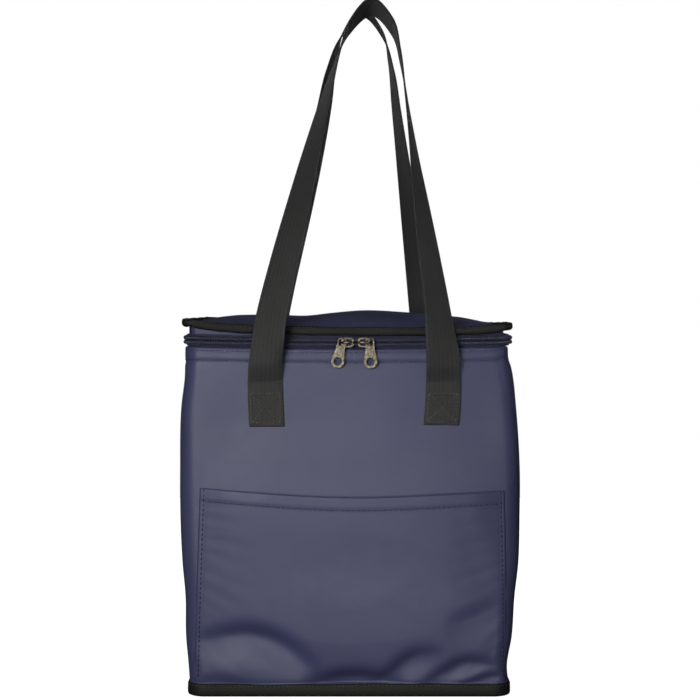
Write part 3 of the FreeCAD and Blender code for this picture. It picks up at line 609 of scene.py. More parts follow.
def relief(x, z):
    """How far the front stands out at a point: a slight swell, and the folds."""
    fade = step_up(z, *FADE_IN) * (1 - step_up(z, *FADE_OUT))
    out = FRONT_SWELL * np.clip(1 - np.abs(x / HALF_WIDTH) ** 4, 0, 1)
    out = out * np.clip(1 - ((z - SWELL_MIDDLE) / SWELL_HALF) ** 2, 0, 1)
    for path, depth, width in SMOOTH_FOLDS:
        away, share = distance_to(x, z, path)
        spread = np.where(away > 0, STEEP * width, GENTLE * width)
        taper = np.sin(math.pi * share) ** 1.1
        out = out - depth * fade * taper * np.exp(-((away / spread) ** 2))
    return out


def sag(x):
    """How far the rim and the zip hang down at a place across the bag."""
    return RIM_SAG * np.clip(1 - (np.asarray(x) / 137) ** 2, 0, 1)


def box_corners(left, right, front, back):
    """Corners in the order that rounded_loop takes them."""
    return [(left, front), (right, front), (right, back), (left, back)]


def body_corners(z, inset=0.0):
    """Corners of the body's outline at a height."""
    left, right = smooth(LEFT_EDGE, z) + inset, smooth(RIGHT_EDGE, z) - inset
    return box_corners(left, right, FRONT + inset, BACK - inset)


def front_surface(x, z):
    """Where the front of the body is, round the corners too."""
    left, right = smooth(LEFT_EDGE, z), smooth(RIGHT_EDGE, z)
    past = np.maximum(np.maximum(x - (right - CORNER_RADIUS), (left + CORNER_RADIUS) - x), 0)
    drop = CORNER_RADIUS - np.sqrt(np.maximum(CORNER_RADIUS**2 - past**2, 0))
    ease = 1 - step_up(past, 0, CORNER_RADIUS)
    return FRONT + drop - relief(x, z) * ease


def make_shell():
    """The outer fabric: one soft sheet round all four sides, folded in at the rim."""
    levels = np.concatenate([np.linspace(2, HEM_FOOT + 1, 104), np.linspace(HEM_FOOT + 2, RIM_TOP - 1.2, 5)])
    rows, uvs = [], []
    for z in levels:
        under_hem = HEM_INSET * float(step_up(z, HEM_FOOT - 5, HEM_FOOT))
        points, normals = rounded_loop(body_corners(z, under_hem), CORNER_RADIUS, SIDES)
        x, y = points.T
        front, back = (np.clip(way * normals[:, 1], 0, 1) ** 2 for way in (-1, 1))
        side = normals[:, 0] ** 2
        up = np.sin(math.pi * np.clip(z / 285, 0, 1))
        across_side = np.cos(np.clip(y / 80, -1, 1) * math.pi / 2) ** 1.2
        across_back = np.cos(np.clip(x / 128, -1, 1) * math.pi / 2)
        swell = relief(x, np.full_like(x, z)) * front
        swell = swell + SIDE_SWELL * side * across_side * up + BACK_SWELL * back * across_back * up
        points = points + normals * swell[:, None]
        rows.append(lift(points, z - sag(x) * step_up(z, 250, 290)))
        uvs.append(lift(lengths(points)[:, None], z))
    rows = np.array(rows)
    shell = make_mesh("outer_fabric", rows, grid_faces(*rows.shape[:2], wrap_columns=True), np.array(uvs))
    thicken(shell, 1)
    finish_piece(shell, "bag", FABRIC, ("shell_wrap", "back_panel"))


def hem_profile():
    """The rim's band, as (out, up) from its lower edge, with a groove at each stitch row and a folded top."""
    height = RIM_TOP - HEM_FOOT
    return [(0.1, 0), (0.95, -0.1), (1.15, 0.5), (0.8, 1.0), (1.15, 1.6), (1.3, 4.5), (1.2, 8.4), (0.8, 9.2),
            (1.15, 10.0), (0.9, height - 0.6), (-0.1, height + 0.1), (-1.1, height - 0.1),
            (-1.5, height - 1.2), (-1.6, height - 7), (-0.8, height - 7)]


def make_rim():
    """The hem round the top of the body, and its two rows of stitches."""
    points, normals = rounded_loop(body_corners(286, HEM_INSET), CORNER_RADIUS, SIDES)
    foot, profile = HEM_FOOT - sag(points[:, 0]), hem_profile()
    centres, out, up = make_band("rim_band", points, normals, foot, profile, "bag", FABRIC, "rim_hem")
    for row, rise in (("lower", 1.0), ("upper", 9.2)):
        line = centres + out * 1.0 + up * rise
        stitches(f"rim_stitches_{row}", close(line), close(out), 4.1, 2.9, "bag")


def stitches(name, line, outward, pitch, length, body, look=NAVY_THREAD, radius=0.36):
    """Sewing stitches along a line: short lengths of thread, half sunk in the cloth."""
    line, outward = np.asarray(line, float), np.asarray(outward, float)
    along = lengths(line)
    count = max(2, int(along[-1] / pitch))
    middles = (np.arange(count) + 0.5) * along[-1] / count
    centre, normal = read_along(middles, along, line), unit(read_along(middles, along, outward))
    half = length / 2
    run = unit(read_along(middles + half, along, line) - read_along(middles - half, along, line))
    side = unit(np.cross(run, normal))
    rings = [(-0.5, 0.25, -0.5), (-0.36, 0.9, 0.15), (0.0, 1.0, 0.3), (0.36, 0.9, 0.15), (0.5, 0.25, -0.5)]
    angles = turns(6)
    points = [
        centre
        + run * place * length
        + normal * radius * (rise + size * math.sin(angle))
        + side * radius * size * math.cos(angle)
        for place, size, rise in rings
        for angle in angles
    ]
    one = tube_faces(len(rings), len(angles))
    faces = [[n * len(points) + corner for corner in face] for n in range(count) for face in one]
    piece = make_mesh(name, np.array(points).transpose(1, 0, 2), faces)
    finish_piece(piece, body, look)


def make_base():
    """The tape that binds the foot, and the coated fabric of the underside."""
    points, normals = rounded_loop(body_corners(6), CORNER_RADIUS, SIDES)
    lumps = 0.125 * np.sin(np.arange(len(points)) * 0.37)
    tall = BASE_HEIGHT + 0.35 * np.sin(points[:, 0] / 31.0) + 0.2 * np.sin(points[:, 0] / 9.0)
    profile = np.array([
        [(-4.5, 0.3), (-1, 0.05), (1.2, 0.1), (2.3, 0.7), (2.75, 2.2), (2.8, 5), (2.65, t - 2.2),
         (2.35, t - 1.2), (2.5, t - 0.7), (2.1, t), (1.0, t + 0.1), (-0.4, t - 0.6), (-0.8, 4)]
        for t in tall
    ])
    profile[:, 3:8, 0] += lumps[:, None]
    centres, out, up = make_band("foot_binding", points, normals, 0.3, profile, "bag", TAPE, "base_binding")
    line = centres + out * 2.45 + up * (tall - 1.4)[:, None]
    stitches("foot_stitches", close(line), close(out), 3.6, 2.6, "bag", BLACK_THREAD, 0.28)
    centre = points.mean(axis=0)
    rings = np.array([
        lift(centre + (points - centre) * share * 0.985, 0.35 + 0.5 * (1 - share))
        for share in (1.0, 0.985, 0.9, 0.7, 0.45, 0.2, 0.03)
    ])
    under = make_mesh("underside", rings, tube_faces(*rings.shape[:2], first=False))
    finish_piece(under, "bag", FABRIC, ("base_panel",))


def make_pocket():
    """The slip pocket: a sheet that follows the front, sewn at its sides and foot, and gapes at its hem."""
    across = np.concatenate([np.linspace(0, 0.06, 10), np.linspace(0.07, 0.93, 84), np.linspace(0.94, 1, 10)])
    rises = np.concatenate([np.linspace(0, 1, 92), [1.0]])
    swell = swollen_sheet(*POCKET_SHEET, top_free=True)
    rows, uvs = [], []
    for rise in rises:
        z_middle = POCKET_FOOT + (172 - POCKET_FOOT) * rise
        left, right = smooth(POCKET_LEFT, z_middle), smooth(POCKET_RIGHT, z_middle)
        x = left + (right - left) * across
        top = smooth(POCKET_TOP, x)
        z = POCKET_FOOT + (top - POCKET_FOOT) * rise
        from_side = np.minimum(x - left, right - x)
        above_stitches = z - (top - HEM_DEPTH)
        groove = 0.35 * np.exp(-((above_stitches / 0.9) ** 2))
        seam = 0.35 * np.exp(-(((from_side - STITCH_INSET) / 1.2) ** 2))
        gape = POCKET_GAPE * step_up(from_side, 0, 26) * step_up(z, 84, 178) ** 1.3
        gape = gape * np.clip(1 - ((x - 3) / 128) ** 2, 0, 1) ** 0.6
        if swell is not None:
            pushed = 0.6 * sample(swell, across, np.full_like(across, rise))
            gape = 0.6 * gape + np.minimum(pushed, POCKET_SWELL_MOST)
        seated = 1.1 * step_up(z, POCKET_FOOT, POCKET_FOOT + 5)
        out = seated + HEM_STEP * step_up(above_stitches, -0.9, 0.9) - groove - seam + gape
        rows.append(np.stack([x, front_surface(x, z) - out, z], axis=1))
        uvs.append(np.stack([x, z], axis=1))
    rows = np.array(rows)
    rows[-1, :, 1] += CLOTH
    pocket = make_mesh("front_pocket", rows, grid_faces(*rows.shape[:2]), np.array(uvs))
    thicken(pocket, -1)
    finish_piece(pocket, "bag", FABRIC, ("pocket_panel",))
    stitch_pocket(rows[:-1], across)


def stitch_pocket(rows, across):
    """The pocket's stitches, down both sides and along its hem."""
    front = np.array([0.0, -1.0, 0.0])
    for side, share in (("left", 0.0165), ("right", 0.9835)):
        line = rows[4:, np.abs(across - share).argmin()] + front * 0.3
        facing = np.broadcast_to(front, line.shape)
        stitches(f"pocket_stitches_{side}", line, facing, 4.0, 2.8, "bag", radius=0.5)
    line = []
    for x in np.linspace(-118, 126, 120):
        column = rows[:, np.abs(rows[60, :, 0] - x).argmin()]
        z = smooth(POCKET_TOP, x) - HEM_DEPTH
        at_x, at_y = (np.interp(z, column[:, 2], column[:, axis]) for axis in (0, 1))
        line.append((at_x, at_y - 0.1, z))
    stitches("pocket_stitches_hem", line, np.broadcast_to(front, (len(line), 3)), 4.4, 3.0, "bag")


def make_liner():
    """The insulation: foam with creased foil on its inside, one thick tray from floor to mouth."""
    outer, inner = [], []
    for z in np.linspace(LINER_FOOT, MOUTH, 40):
        half = LINER_HALF_WIDTH - np.interp(z, (9, 60, 230, 281), (1.5, 0.4, 0.4, 1.6))
        corners = box_corners(-half, half, -LINER_HALF_DEPTH, LINER_HALF_DEPTH)
        points, normals = rounded_loop(corners, 9, SIDES)
        wave = np.arange(len(points))
        pressed = np.clip(-relief(points[:, 0], np.full(len(points), z)), 0, None)
        points[:, 1] += pressed * (points[:, 1] < -60)
        outer.append(lift(points - normals * 0.4, z))
        ripple = 0.5 * np.sin(wave * 0.21 + z * 0.09) + 0.35 * np.sin(wave * 0.47 - z * 0.13)
        ripple = ripple * (1 - step_up(z, 250, 266))
        inner.append(lift(points - normals * (5.2 + ripple[:, None]), z))
    foot, floor = [], []
    centre = inner[0].mean(axis=0)
    for share in (0.97, 0.8, 0.55, 0.3, 0.1, 0.02):
        ring = centre + (inner[0] - centre) * share
        foot.insert(0, ring * [1, 1, 0] + [0, 0, 3.4])
        ring[:, 2] = 9.8 + 0.4 * np.sin(ring[:, 0] / 17) * np.cos(ring[:, 1] / 13)
        floor.append(ring)
    outer = foot + outer
    rows = np.array(outer + inner[::-1] + floor)
    liner = make_mesh("insulated_liner", rows, tube_faces(*rows.shape[:2]))
    foams = ("front_foam", "rear_foam", "left_foam", "right_foam", "base_foam")
    finish_piece(liner, "bag", FOIL, ("liner_wall", "liner_floor", *foams, "base_board"), inside=FOAM)
    outside = (len(outer) - 1) * rows.shape[1]
    for polygon in liner.data.polygons[:outside]:
        polygon.material_index = 1


def make_mouth_tape():
    """The tape that binds the lining's raw edge at the mouth."""
    points, normals = rounded_loop(box_corners(-130.2, 130.2, -86.4, 86.4), 10, SIDES)
    profile = [(1.6, 0.4), (0.8, 1.2), (-4, 1.3), (-6.6, 0.9), (-7.2, -0.4), (-7.1, -10.6), (-6.7, -11),
               (-5.3, -10), (-5.2, -0.4), (0.5, 0.1)]
    heights = MOUTH - 0.4 * sag(points[:, 0])
    make_band("mouth_tape", points, normals, heights, profile, "bag", TAPE, "mouth_binding")


# ---- the zip ----


def zip_corners(inset=0.0):
    """Corners of the line that the zip's chain follows."""
    return box_corners(ZIP_LEFT + inset, ZIP_RIGHT - inset, FRONT + inset, BACK - inset)


def cut_open(keep, *loops):
    """The kept run of each of some closed loops, in order from its first kept point."""
    first = np.argmax(np.roll(keep, 1) < keep)
    order = np.roll(np.arange(len(keep)), -first)
    order = order[keep[order]]
    return [values[order] for values in loops]


def zip_path(step):
    """The line of the zip's chain from end stop to end stop round the front, and its outward directions."""
    points, normals = rounded_loop(zip_corners(), CORNER_RADIUS, SIDES, 16)
    points, normals = cut_open(points[:, 1] < ZIP_END_Y, points, normals)
    along = lengths(points)
    places = np.arange(0, along[-1], step)
    return read_along(places, along, points), unit(read_along(places, along, normals)), places


def tape_section(half, reach, hangs):
    """A zip tape's section, as (out, up) from its middle: flat on the body, then stepped out to the chain.
    The lower tape rises to the chain and the upper one hangs down to it."""
    near, far = TAPE_STEP
    line = [(0, -half), (0, half - far), (reach, half - near), (reach, half)]
    section = [(x + 0.3, z) for x, z in line] + [(x - 0.3, z) for x, z in line[::-1]]
    return [(x, -z) for x, z in section[::-1]] if hangs else section


def make_coils():
    """The chain's two ridged coils, one on the body and one on the lid."""
    line, normals, places = zip_path(COIL_PITCH / 6)
    heights = ZIP_HEIGHT - sag(line[:, 0])
    ridge = (np.abs(np.cos(math.pi * places / COIL_PITCH)) * 2 - 1)[:, None]
    angles = turns(10)
    wide, high = 1.25 * np.cos(angles) * (1 + 0.24 * ridge), 1.74 * np.sin(angles) * (1 + 0.02 * ridge)
    section = np.stack([wide, high], axis=2)
    for name, body, side in (("body", "bag", -1), ("lid", "lid", 1)):
        centres, out, up = loop_frames(line + normals * 0.1, normals, heights + side * 1.82)
        coil = sweep(f"zip_teeth_{name}", centres, out, up, section)
        finish_piece(coil, body, COIL, (f"zip_coil_{name}",))


def make_zip():
    """The two coils, their tapes and the stops at the zip's ends."""
    make_coils()
    points, normals = rounded_loop(body_corners(289, TAPE_INSET), CORNER_RADIUS - 2, SIDES)
    chain = rounded_loop(zip_corners(CHAIN_INSET), CORNER_RADIUS - CHAIN_INSET, SIDES)[0]
    reach = np.sum((chain - points) * normals, axis=1)
    keep = (points[:, 1] < 84) | (np.abs(points[:, 0]) > 116)
    points, normals, reach = cut_open(keep, points, normals, reach)
    zip_z = ZIP_HEIGHT - sag(points[:, 0])
    for name, body, low, high, node in (
        ("zip_tape_lower", "bag", zip_z - 13, zip_z, "zip_tape_body"),
        ("zip_tape_upper", "lid", zip_z, lid_edge(points) - 1.0, "zip_tape_lid"),
    ):
        centres, out, up = loop_frames(points, normals, (low + high) / 2)
        section = np.array([tape_section(half, r, body == "lid") for half, r in zip((high - low) / 2, reach)])
        tape = sweep(name, centres, out, up, section, uv_profile=np.array([0, 6, 8, 13, 13.3, 8.3, 6.3, 0.3]))
        finish_piece(tape, body, ZIP_TAPE, (node,))
    for side, x, replaced in (("left", ZIP_LEFT, ("zip_end_stops",)), ("right", ZIP_RIGHT, ())):
        stop = rounded_block(f"zip_stop_{side}", (2.6, 2.6, 6.2), (x, ZIP_END_Y + 1.4, ZIP_HEIGHT - 2.6), 0.6)
        finish_piece(stop, "bag", METAL, replaced)


def rounded_block(name, size, centre, radius):
    """A block with rounded edges."""
    signs = np.array([(x, y, z) for x in (-1, 1) for y in (-1, 1) for z in (-1, 1)])
    corners = signs * (np.array(size) / 2) + np.array(centre)
    faces = [(0, 1, 3, 2), (4, 6, 7, 5), (0, 4, 5, 1), (2, 3, 7, 6), (0, 2, 6, 4), (1, 5, 7, 3)]
    piece = make_mesh(name, corners, faces)
    bevel = piece.modifiers.new("edges", "BEVEL")
    bevel.width, bevel.segments, bevel.limit_method = radius * MM, 3, "NONE"
    return piece


def flat_shape(name, outlines, thickness, bevel):
    """A flat plate that faces -Y, with rounded edges. Outlines after the first are holes."""
    curve = bpy.data.curves.new(name, "CURVE")
    curve.dimensions, curve.fill_mode = "2D", "BOTH"
    curve.extrude = (thickness / 2 - bevel) * MM
    curve.bevel_depth, curve.bevel_resolution = bevel * MM, 3
    curve.offset = -bevel * MM
    for outline in outlines:
        spline = curve.splines.new("POLY")
        spline.points.add(len(outline) - 1)
        for point, (x, z) in zip(spline.points, outline):
            point.co = (x * MM, z * MM, 0, 1)
        spline.use_cyclic_u = True
    maker = bpy.data.objects.new(name + "_outline", curve)
    bpy.context.scene.collection.objects.link(maker)
    bpy.context.view_layer.update()
    mesh = bpy.data.meshes.new_from_object(maker.evaluated_get(bpy.context.evaluated_depsgraph_get()))
    bpy.data.objects.remove(maker)
    for vertex in mesh.vertices:
        x, z, y = vertex.co
        vertex.co = (x, -y, z)
    mesh.name = name
    piece = bpy.data.objects.new(name, mesh)
    bpy.context.scene.collection.objects.link(piece)
    return piece


def circle(x, z, radius, count):
    """Points round a circle."""
    return [(x + radius * math.cos(t), z + radius * math.sin(t)) for t in turns(count)]


def pull_outline():
    """The outer edge of a pull: square shoulders, sides that flare, and a round end."""
    ring = [
        (PULL_RING * math.cos(angle), -PULL_REACH + PULL_RING * math.sin(angle))
        for angle in np.radians(np.linspace(158, 382, 26))
    ]
    left = [(-2.2, 3.9), (-3.3, 3.1), (-3.6, 0.6), (-4.0, -6.0)]
    return left + ring + [(-x, z) for x, z in left[::-1]]


def slider_outline():
    """The outer edge of a slider's plate: a long oval with full corners."""
    points = []
    for angle in turns(36):
        c, s = math.cos(angle), math.sin(angle)
        points.append((5.6 * math.copysign(abs(c) ** 0.62, c), 4.5 * math.copysign(abs(s) ** 0.7, s)))
    return points


def make_plate(body, name, outlines, thickness, bevel, place, lean, replaced=()):
    """One metal plate of a slider or a pull, leaning to one side by some degrees."""
    plate = flat_shape(f"{body}_{name}", outlines, thickness, bevel)
    plate.location = Vector([value * MM for value in place])
    plate.rotation_euler = (0, math.radians(lean), 0)
    finish_piece(plate, body, METAL, replaced)


def make_arch(body, x, z):
    """The arch over a slider, which its pull hangs from."""
    route = ARCH_HALF + [(-dx, dy) for dx, dy in ARCH_HALF[-2::-1]]
    centres = np.array([(x + dx, FRONT + dy, z) for dx, dy in route])
    along = unit(np.gradient(centres, axis=0))
    across = np.broadcast_to([0.0, 0.0, 1.0], along.shape)
    section = [(1.05 * math.cos(t), 0.6 * math.sin(t)) for t in turns(12)]
    arch = sweep(f"{body}_arch", centres, across, np.cross(along, across), section)
    smoother = arch.modifiers.new("round", "SUBSURF")
    smoother.levels = smoother.render_levels = 1
    finish_piece(arch, body, METAL)


def make_sliders():
    """Two cast sliders with an arch over each, and a ring pull hanging from the outer end of each arch."""
    outline = slider_outline()
    window = [(a * 0.58, b * 0.5) for a, b in outline]
    low = [(a, b * 0.72) for a, b in outline]
    tab = [pull_outline(), PULL_EYE, circle(0, -PULL_REACH, PULL_HOLE, 28)]
    for side, (x, lean, outer) in SLIDERS.items():
        z = ZIP_HEIGHT - float(sag(x))
        slider, pull, hung = f"slider_{side}", f"pull_{side}", x + outer * PIVOT_OUT
        make_plate(slider, "body", [outline, window], 1.9, 0.6, (x, FRONT - 2.75, z), 0, (slider,))
        make_plate(slider, "rear", [low], 1.0, 0.4, (x, FRONT + 2.9, z), 0)
        make_arch(slider, x, z)
        make_plate(pull, "tab", tab, 1.5, 0.45, (hung, FRONT - 4.5, z), lean, (pull,))
        make_plate(pull, "panel", [PULL_SHIELD], 0.5, 0.2, (hung, FRONT - 5.28, z), lean)


# ---- the lid ----


def lid_edge(points):
    """Height of the lid's bound edge at points of the ground plan."""
    x, y = points[:, 0], points[:, 1]
    back = step_up(y, -95, 95)
    return smooth(LID_FRONT, x) * (1 - back) + smooth(LID_BACK, x) * back


def lid_top(points, swell):
    """Height of the lid's upper face, with the simulated swell of its cloth where there is one."""
    x, y = points[:, 0], points[:, 1]
    edge = lid_edge(points)
    deep = np.clip(1 - np.abs(y / 89) ** 3.2, 0, 1)
    filled = edge + (np.maximum(smooth(LID_CROWN, x), edge + 0.3) - edge) * deep
    if swell is None:
        return filled
    pushed = np.minimum(sample(swell, (x + 134) / 268, (y + 89) / 178), LID_SWELL_MOST)
    return filled + pushed - LID_SWELL_MOST * deep * np.clip(1 - np.abs(x / 134) ** 3.2, 0, 1)


def lid_outline():
    """The lid's plan, its outward directions, and the same plan with ears at the two front corners."""
    points, normals = rounded_loop(LID_CORNERS, LID_RADIUS, SIDES, 10)
    ear = np.clip(np.abs(normals[:, 0] * normals[:, 1]) * 2, 0, 1) * (points[:, 1] < 0)
    return points, normals, points + normals * (LID_EAR * ear)[:, None], ear


def make_lid_top():
    """The padded top, with foil underneath."""
    points, _, outline, _ = lid_outline()
    centre = points.mean(axis=0)
    swell = swollen_sheet(*LID_SHEET, top_free=False)
    upper, lower = [], []
    for share in 1 - np.linspace(0, 1, 44)[:-1] ** 1.25:
        ring = centre + (outline - centre) * (share * 0.992)
        upper.append(lift(ring, lid_top(ring, swell)))
        lower.append(lift(ring, lid_edge(ring) - 1.6))
    rows = np.array(lower[::-1] + upper)
    count = rows.shape[1]
    top = make_mesh("lid_top", rows, tube_faces(*rows.shape[:2]), rows[..., :2])
    finish_piece(top, "lid", FABRIC, ("lid_panel", "lid_foam", "lid_liner"), inside=FOIL)
    underneath = range((len(lower) - 1) * count)
    closed_middle = (len(rows) - 1) * count
    for n in (*underneath, closed_middle):
        top.data.polygons[n].material_index = 1


def make_lid_binding():
    """The rolled binding of the lid's edge, with an ear at each front corner, and its stitches."""
    points, normals, outline, ear = lid_outline()
    path, heights = outline + normals * 0.9, lid_edge(points) + 0.6 * ear
    angles = turns(14)
    tall, thick = LID_BINDING_HEIGHT / 2, LID_BINDING_THICK / 2
    places = np.arange(len(path))
    wobble = 1 + 0.05 * np.sin(places * 0.31) + 0.03 * np.sin(places * 0.83)
    wide = thick * np.sign(np.cos(angles)) * np.abs(np.cos(angles)) ** 0.8
    high = tall * np.sign(np.sin(angles)) * np.abs(np.sin(angles)) ** 0.7
    high = high * (wobble * (1 - 0.36 * ear))[:, None]
    profile = np.stack([np.broadcast_to(wide, high.shape), high], axis=2)
    frames = make_band("lid_edge_binding", path, normals, heights, profile, "lid", TAPE, "lid_binding")
    centres, out, up = frames
    line = centres + up * (tall * 0.72) + out * (thick * 0.72)
    facing = unit(out * 0.7 + up * 0.7)
    stitches("lid_stitches", close(line), close(facing), 3.6, 2.5, "lid", BLACK_THREAD, 0.28)


def make_lid_sides():
    """The low band of fabric under the lid's edge, and the tape that binds the foil inside it."""
    points, normals, _, _ = lid_outline()
    foot, edge = ZIP_HEIGHT + 3.7 - sag(points[:, 0]), lid_edge(points)
    profile = np.array([
        [(0.2, -t), (0.7, -t * 0.6), (0.8, t * 0.5), (0.4, t), (-0.5, t), (-0.5, -t)]
        for t in (edge - foot) / 2
    ])
    middle = (foot + edge) / 2
    make_band("lid_band", points - normals * 4.2, normals, middle, profile, "lid", FABRIC, "lid_side_band")
    inner = points - normals * 7.5
    heights = lid_edge(inner) - 2.2
    profile = [(-6, 0.3), (6, 0.5), (6, -0.2), (0, -0.5), (-6, -0.2)]
    make_band("lid_inner_tape", inner, normals, heights, profile, "lid", TAPE, "lid_inner_binding")


def make_hinge():
    """The strip of coated fabric that the lid bends about, along the back."""
    x = np.linspace(-HINGE_HALF, HINGE_HALF, 60)
    rows = []
    for height in np.concatenate([np.linspace(HINGE_FOOT, 291, 4), np.linspace(292, HINGE_TOP, 16)]):
        y = HINGE_Y + 0.5 * math.sin(math.pi * (height - HINGE_FOOT) / (HINGE_TOP - HINGE_FOOT))
        rows.append(np.stack([x, np.full_like(x, y), height - 0.6 * sag(x)], axis=1))
    rows = np.array(rows)
    both = np.vstack([rows, rows[::-1] - [0, 0.8, 0]])
    strip = make_mesh("hinge_fabric", both, grid_faces(*both.shape[:2], wrap_rows=True), both[..., ::2])
    finish_piece(strip, None, FABRIC, ("hinge_strip", "lid_hinge_flap"))
    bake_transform(strip)


# ---- the handles ----


def strap_line(route, side):
    """A handle's centre line and twist at close steps. side is -1 for the front and 1 for the rear."""
    rows = np.array([
        (x, side * smooth(STRAP_LEAN, z), z, twist) for z, (x, twist) in zip(ROUTE_HEIGHTS, route)
    ])
    along = lengths(rows[:, :3])
    places = np.append(np.arange(0, along[-1], 1.6), along[-1])
    columns = [smooth(list(zip(along, column)), places) for column in rows.T]
    return np.stack(columns[:3], axis=1), columns[3]


def strap_directions(centres, twist, side):
    """Across the webbing's width and out of its face, at each point of its line."""
    twist = np.radians(twist)
    roll = math.radians(CROWN_ROLL) * np.sin(twist) ** 4
    along = unit(np.gradient(centres, axis=0))
    flat = np.cos(roll)
    across = np.stack([np.cos(twist) * flat, side * np.sin(twist) * flat, np.sin(roll)], axis=1)
    across = unit(across - along * np.sum(across * along, axis=1, keepdims=True))
    return across, np.cross(along, across)


def webbing_profile(centres, curls=()):
    """The webbing's section at each place along it: rounded edges, a slightly hollow face, edges that curl.
    A curl is (left or right leg, edge, height, how tall, how far the edge goes back)."""
    u = np.array([-1, -0.985, -0.95, -0.85, -0.6, -0.3, 0, 0.3, 0.6, 0.85, 0.95, 0.985, 1])
    t = np.array([0.15, 0.7, 0.96, 1, 0.95, 0.93, 0.92, 0.93, 0.95, 1, 0.96, 0.7, 0.15])
    half_w, half_t = WEBBING_WIDTH / 2, WEBBING / 2
    u, t = np.concatenate([u, u[::-1]]), np.concatenate([t, -t[::-1]])
    wide = np.broadcast_to(u * half_w, (len(centres), len(u))).copy()
    thick = np.broadcast_to(t * half_t, wide.shape).copy()
    for leg, edge, height, tall, back in curls:
        on_leg = (centres[:, 0] < 10) if leg == "left" else (centres[:, 0] > 10)
        loose = step_up(centres[:, 2], HANDLE_TOP, HANDLE_TOP + 6)
        amount = on_leg * loose * np.exp(-(((centres[:, 2] - height) / tall) ** 2))
        bend = np.clip(u * edge - 0.1, 0, 1) ** 2
        thick += back * amount[:, None] * bend
        wide -= edge * 0.5 * back * amount[:, None] * bend
    return np.stack([wide, thick], axis=2)


def sewn_leg(x, side, foot, tilt):
    """The end of a strap from where it is folded under, down its back, round the fold and up its face.
    tilt is how far its foot stands to the right of its top."""
    y_back, y_face = 88.9, SEWN_STANDOFF
    middle, radius = (y_back + y_face) / 2, (y_face - y_back) / 2
    under = [(x, side * y_back, z) for z in np.arange(HANDLE_TOP - 3, foot + radius, -2.5)]
    turn = [
        (x, side * (middle - radius * math.cos(a)), foot + radius - radius * math.sin(a))
        for a in np.linspace(0, math.pi, 7)
    ]
    face = [(x, side * y_face, z) for z in np.arange(foot + radius + 2, HANDLE_TOP - 1, 2.2)]
    leg = np.array(under + turn + face)
    leg[:, 0] += tilt * (np.maximum(HANDLE_TOP - leg[:, 2], 0) / (HANDLE_TOP - foot)) ** 1.6
    return leg


def make_handle(route, side):
    """The line of a strap from one folded end to the other, and the directions across and out of its face."""
    centres, twist = strap_line(route, side)
    left = sewn_leg(route[0][0], side, *SEWN_ENDS["left"])
    right = sewn_leg(route[-1][0], side, *SEWN_ENDS["right"])[::-1]
    line = np.vstack([left, centres, right])
    twist = np.concatenate([np.full(len(left), route[0][1]), twist, np.full(len(right), route[-1][1])])
    return line, *strap_directions(line, twist, side)


def box_stitches(name, x, side, foot, tilt):
    """The sewn box and cross that hold a strap's end."""
    half, low, high = WEBBING_WIDTH / 2 - 2.4, foot + 3.2, HANDLE_TOP - 6.5
    y = side * (SEWN_STANDOFF + WEBBING / 2 + 0.05)
    under = x + tilt * 0.85
    a, b, c, d = ((under - half, y, low), (under + half, y, low), (x + half, y, high), (x - half, y, high))
    for tag, path in (("box", [a, b, c, d, a]), ("cross", [a, c]), ("cross_back", [b, d])):
        fine = []
        for start, end in zip(path, path[1:]):
            fine += [np.array(start) + (np.array(end) - np.array(start)) * t for t in np.linspace(0, 1, 12)]
        facing = np.broadcast_to([0.0, side, 0.0], (len(fine), 3))
        stitches(f"{name}_{tag}", fine, facing, 2.7, 2.1, "bag", BROWN_THREAD, 0.62)


def make_handles():
    """Both handles. The rear one is in three parts, because it bends at two places."""
    line, across, out = make_handle(FRONT_HANDLE, -1)
    front = sweep("front_handle", line, across, out, webbing_profile(line, FRONT_CURLS))
    finish_piece(front, None, WEBBING_CLOTH,
                 ("front_handle_loop", "front_handle_end_left", "front_handle_end_right"))
    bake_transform(front)

    line, across, out = make_handle(REAR_HANDLE, 1)
    profile = webbing_profile(line)
    above = np.where(line[:, 2] > REAR_SPLIT)[0]
    first, last = above[0], above[-1]
    for name, begin, stop, nodes in (
        ("rear_strap_left", 0, first + 1, ("rear_handle_end_left",)),
        ("rear_strap_right", last, len(line), ("rear_handle_end_right",)),
        ("rear_handle_strap", first, last + 1, ("rear_handle_loop", "rear_handle_roots")),
    ):
        part = slice(begin, stop)
        strap = sweep(name, line[part], across[part], out[part], profile[part])
        finish_piece(strap, None, WEBBING_CLOTH, nodes)
        if name == "rear_handle_strap":
            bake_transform(strap)
        else:
            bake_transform(strap)

    for handle, route, side in (("front", FRONT_HANDLE, -1), ("rear", REAR_HANDLE, 1)):
        for leg, row in (("left", route[0]), ("right", route[-1])):
            box_stitches(f"{handle}_{leg}_stitches", row[0], side, *SEWN_ENDS[leg])


# ---- camera, floor and light ----


def make_camera():
    """A camera straight in front of the bag, a little above its lid, looking slightly down."""
    camera = bpy.data.objects.new("camera", bpy.data.cameras.new("camera"))
    bpy.context.scene.collection.objects.link(camera)
    camera.location = (0.0017, -1.5795, 0.3344)
    camera.rotation_euler = (math.radians(90 - 1.765), 0, 0)
    camera.data.sensor_width = 36
    camera.data.lens = 92.86
    camera.data.clip_start = 0.05
    bpy.context.scene.camera = camera


def area_light(name, place, target, size, power, spread=180, glossy=True):
    """A rectangular light that the camera doesn't see. glossy is whether reflections show it."""
    light = bpy.data.objects.new(name, bpy.data.lights.new(name, "AREA"))
    light.data.shape = "RECTANGLE"
    light.data.size, light.data.size_y = size
    light.data.energy = power
    light.data.spread = math.radians(spread)
    light.location = place
    light.rotation_euler = (Vector(target) - Vector(place)).to_track_quat("-Z", "Y").to_euler()
    bpy.context.scene.collection.objects.link(light)
    light.visible_camera = False
    light.visible_glossy = glossy


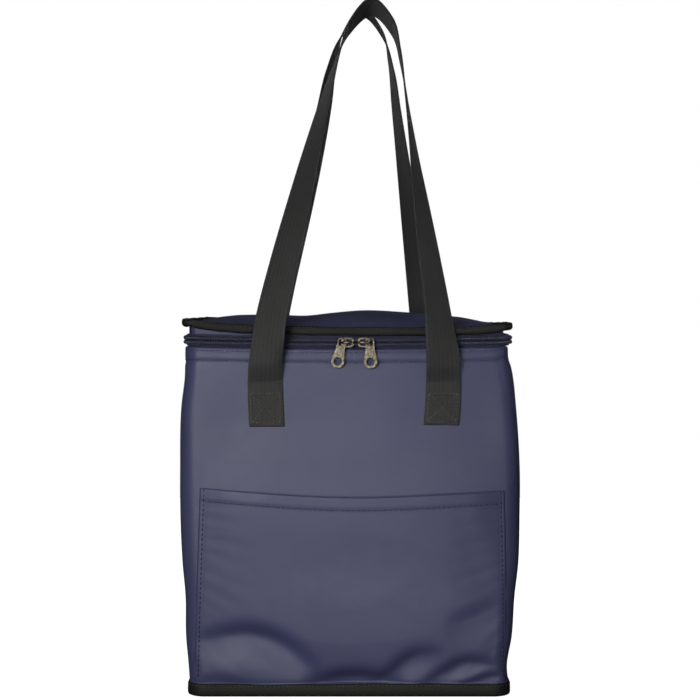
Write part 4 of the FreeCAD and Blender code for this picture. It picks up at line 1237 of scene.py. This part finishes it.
def make_floor():
    """A white floor that takes no part in bounced light or reflections."""
    floor = make_mesh("floor", lift(np.array(circle(0, 0, FLOOR_RADIUS, 96)), 0.0), [list(range(96))])
    floor.data.materials.append(floor_paper())
    floor.visible_diffuse = floor.visible_glossy = False


def make_world():
    """Dim surroundings, which the camera sees as plain white."""
    world = bpy.data.worlds.new("studio")
    bpy.context.scene.world = world
    world.use_nodes = True
    nodes, links = world.node_tree.nodes, world.node_tree.links
    surroundings, backdrop = nodes["Background"], nodes.new("ShaderNodeBackground")
    for background, strength in ((surroundings, 0.04), (backdrop, 1.0)):
        background.inputs["Color"].default_value = (1, 1, 1, 1)
        background.inputs["Strength"].default_value = strength
    ray, mix = nodes.new("ShaderNodeLightPath"), nodes.new("ShaderNodeMixShader")
    links.new(ray.outputs["Is Camera Ray"], mix.inputs[0])
    links.new(surroundings.outputs[0], mix.inputs[1])
    links.new(backdrop.outputs[0], mix.inputs[2])
    links.new(mix.outputs[0], nodes["World Output"].inputs["Surface"])
    bpy.context.scene.view_settings.view_transform = "Standard"


def make_lights():
    """A key light from the front left, dim ones for foot, rim and handles, and two above and behind."""
    area_light("key", (-0.42, -1.25, 0.42), (0, 0, 0.24), (0.4, 0.4), 9.6)
    area_light("low", (0.12, -1.5, 0.08), (0.0, 0, 0.07), (0.3, 0.2), 0.09, spread=20)
    area_light("upper", (-0.16, -1.5, 0.31), (-0.01, 0, 0.272), (0.3, 0.1), 0.018, spread=10, glossy=False)
    area_light("handles", (1.1, -1.0, 0.60), (0.06, -0.05, 0.42), (0.2, 0.2), 0.075, spread=18)
    area_light("top", (-0.3, -0.3, 2.2), (0, 0, 0.2), (1.2, 1.0), 3)
    area_light("rear", (0.5, 2.0, 0.7), (0, 0, 0.2), (1.0, 1.0), 26, glossy=False)


make_camera()
make_floor()
make_world()
make_lights()
make_shell()
make_rim()
make_base()
make_pocket()
make_liner()
make_mouth_tape()
make_zip()
make_sliders()
make_lid_top()
make_lid_binding()
make_lid_sides()
make_hinge()
make_handles()
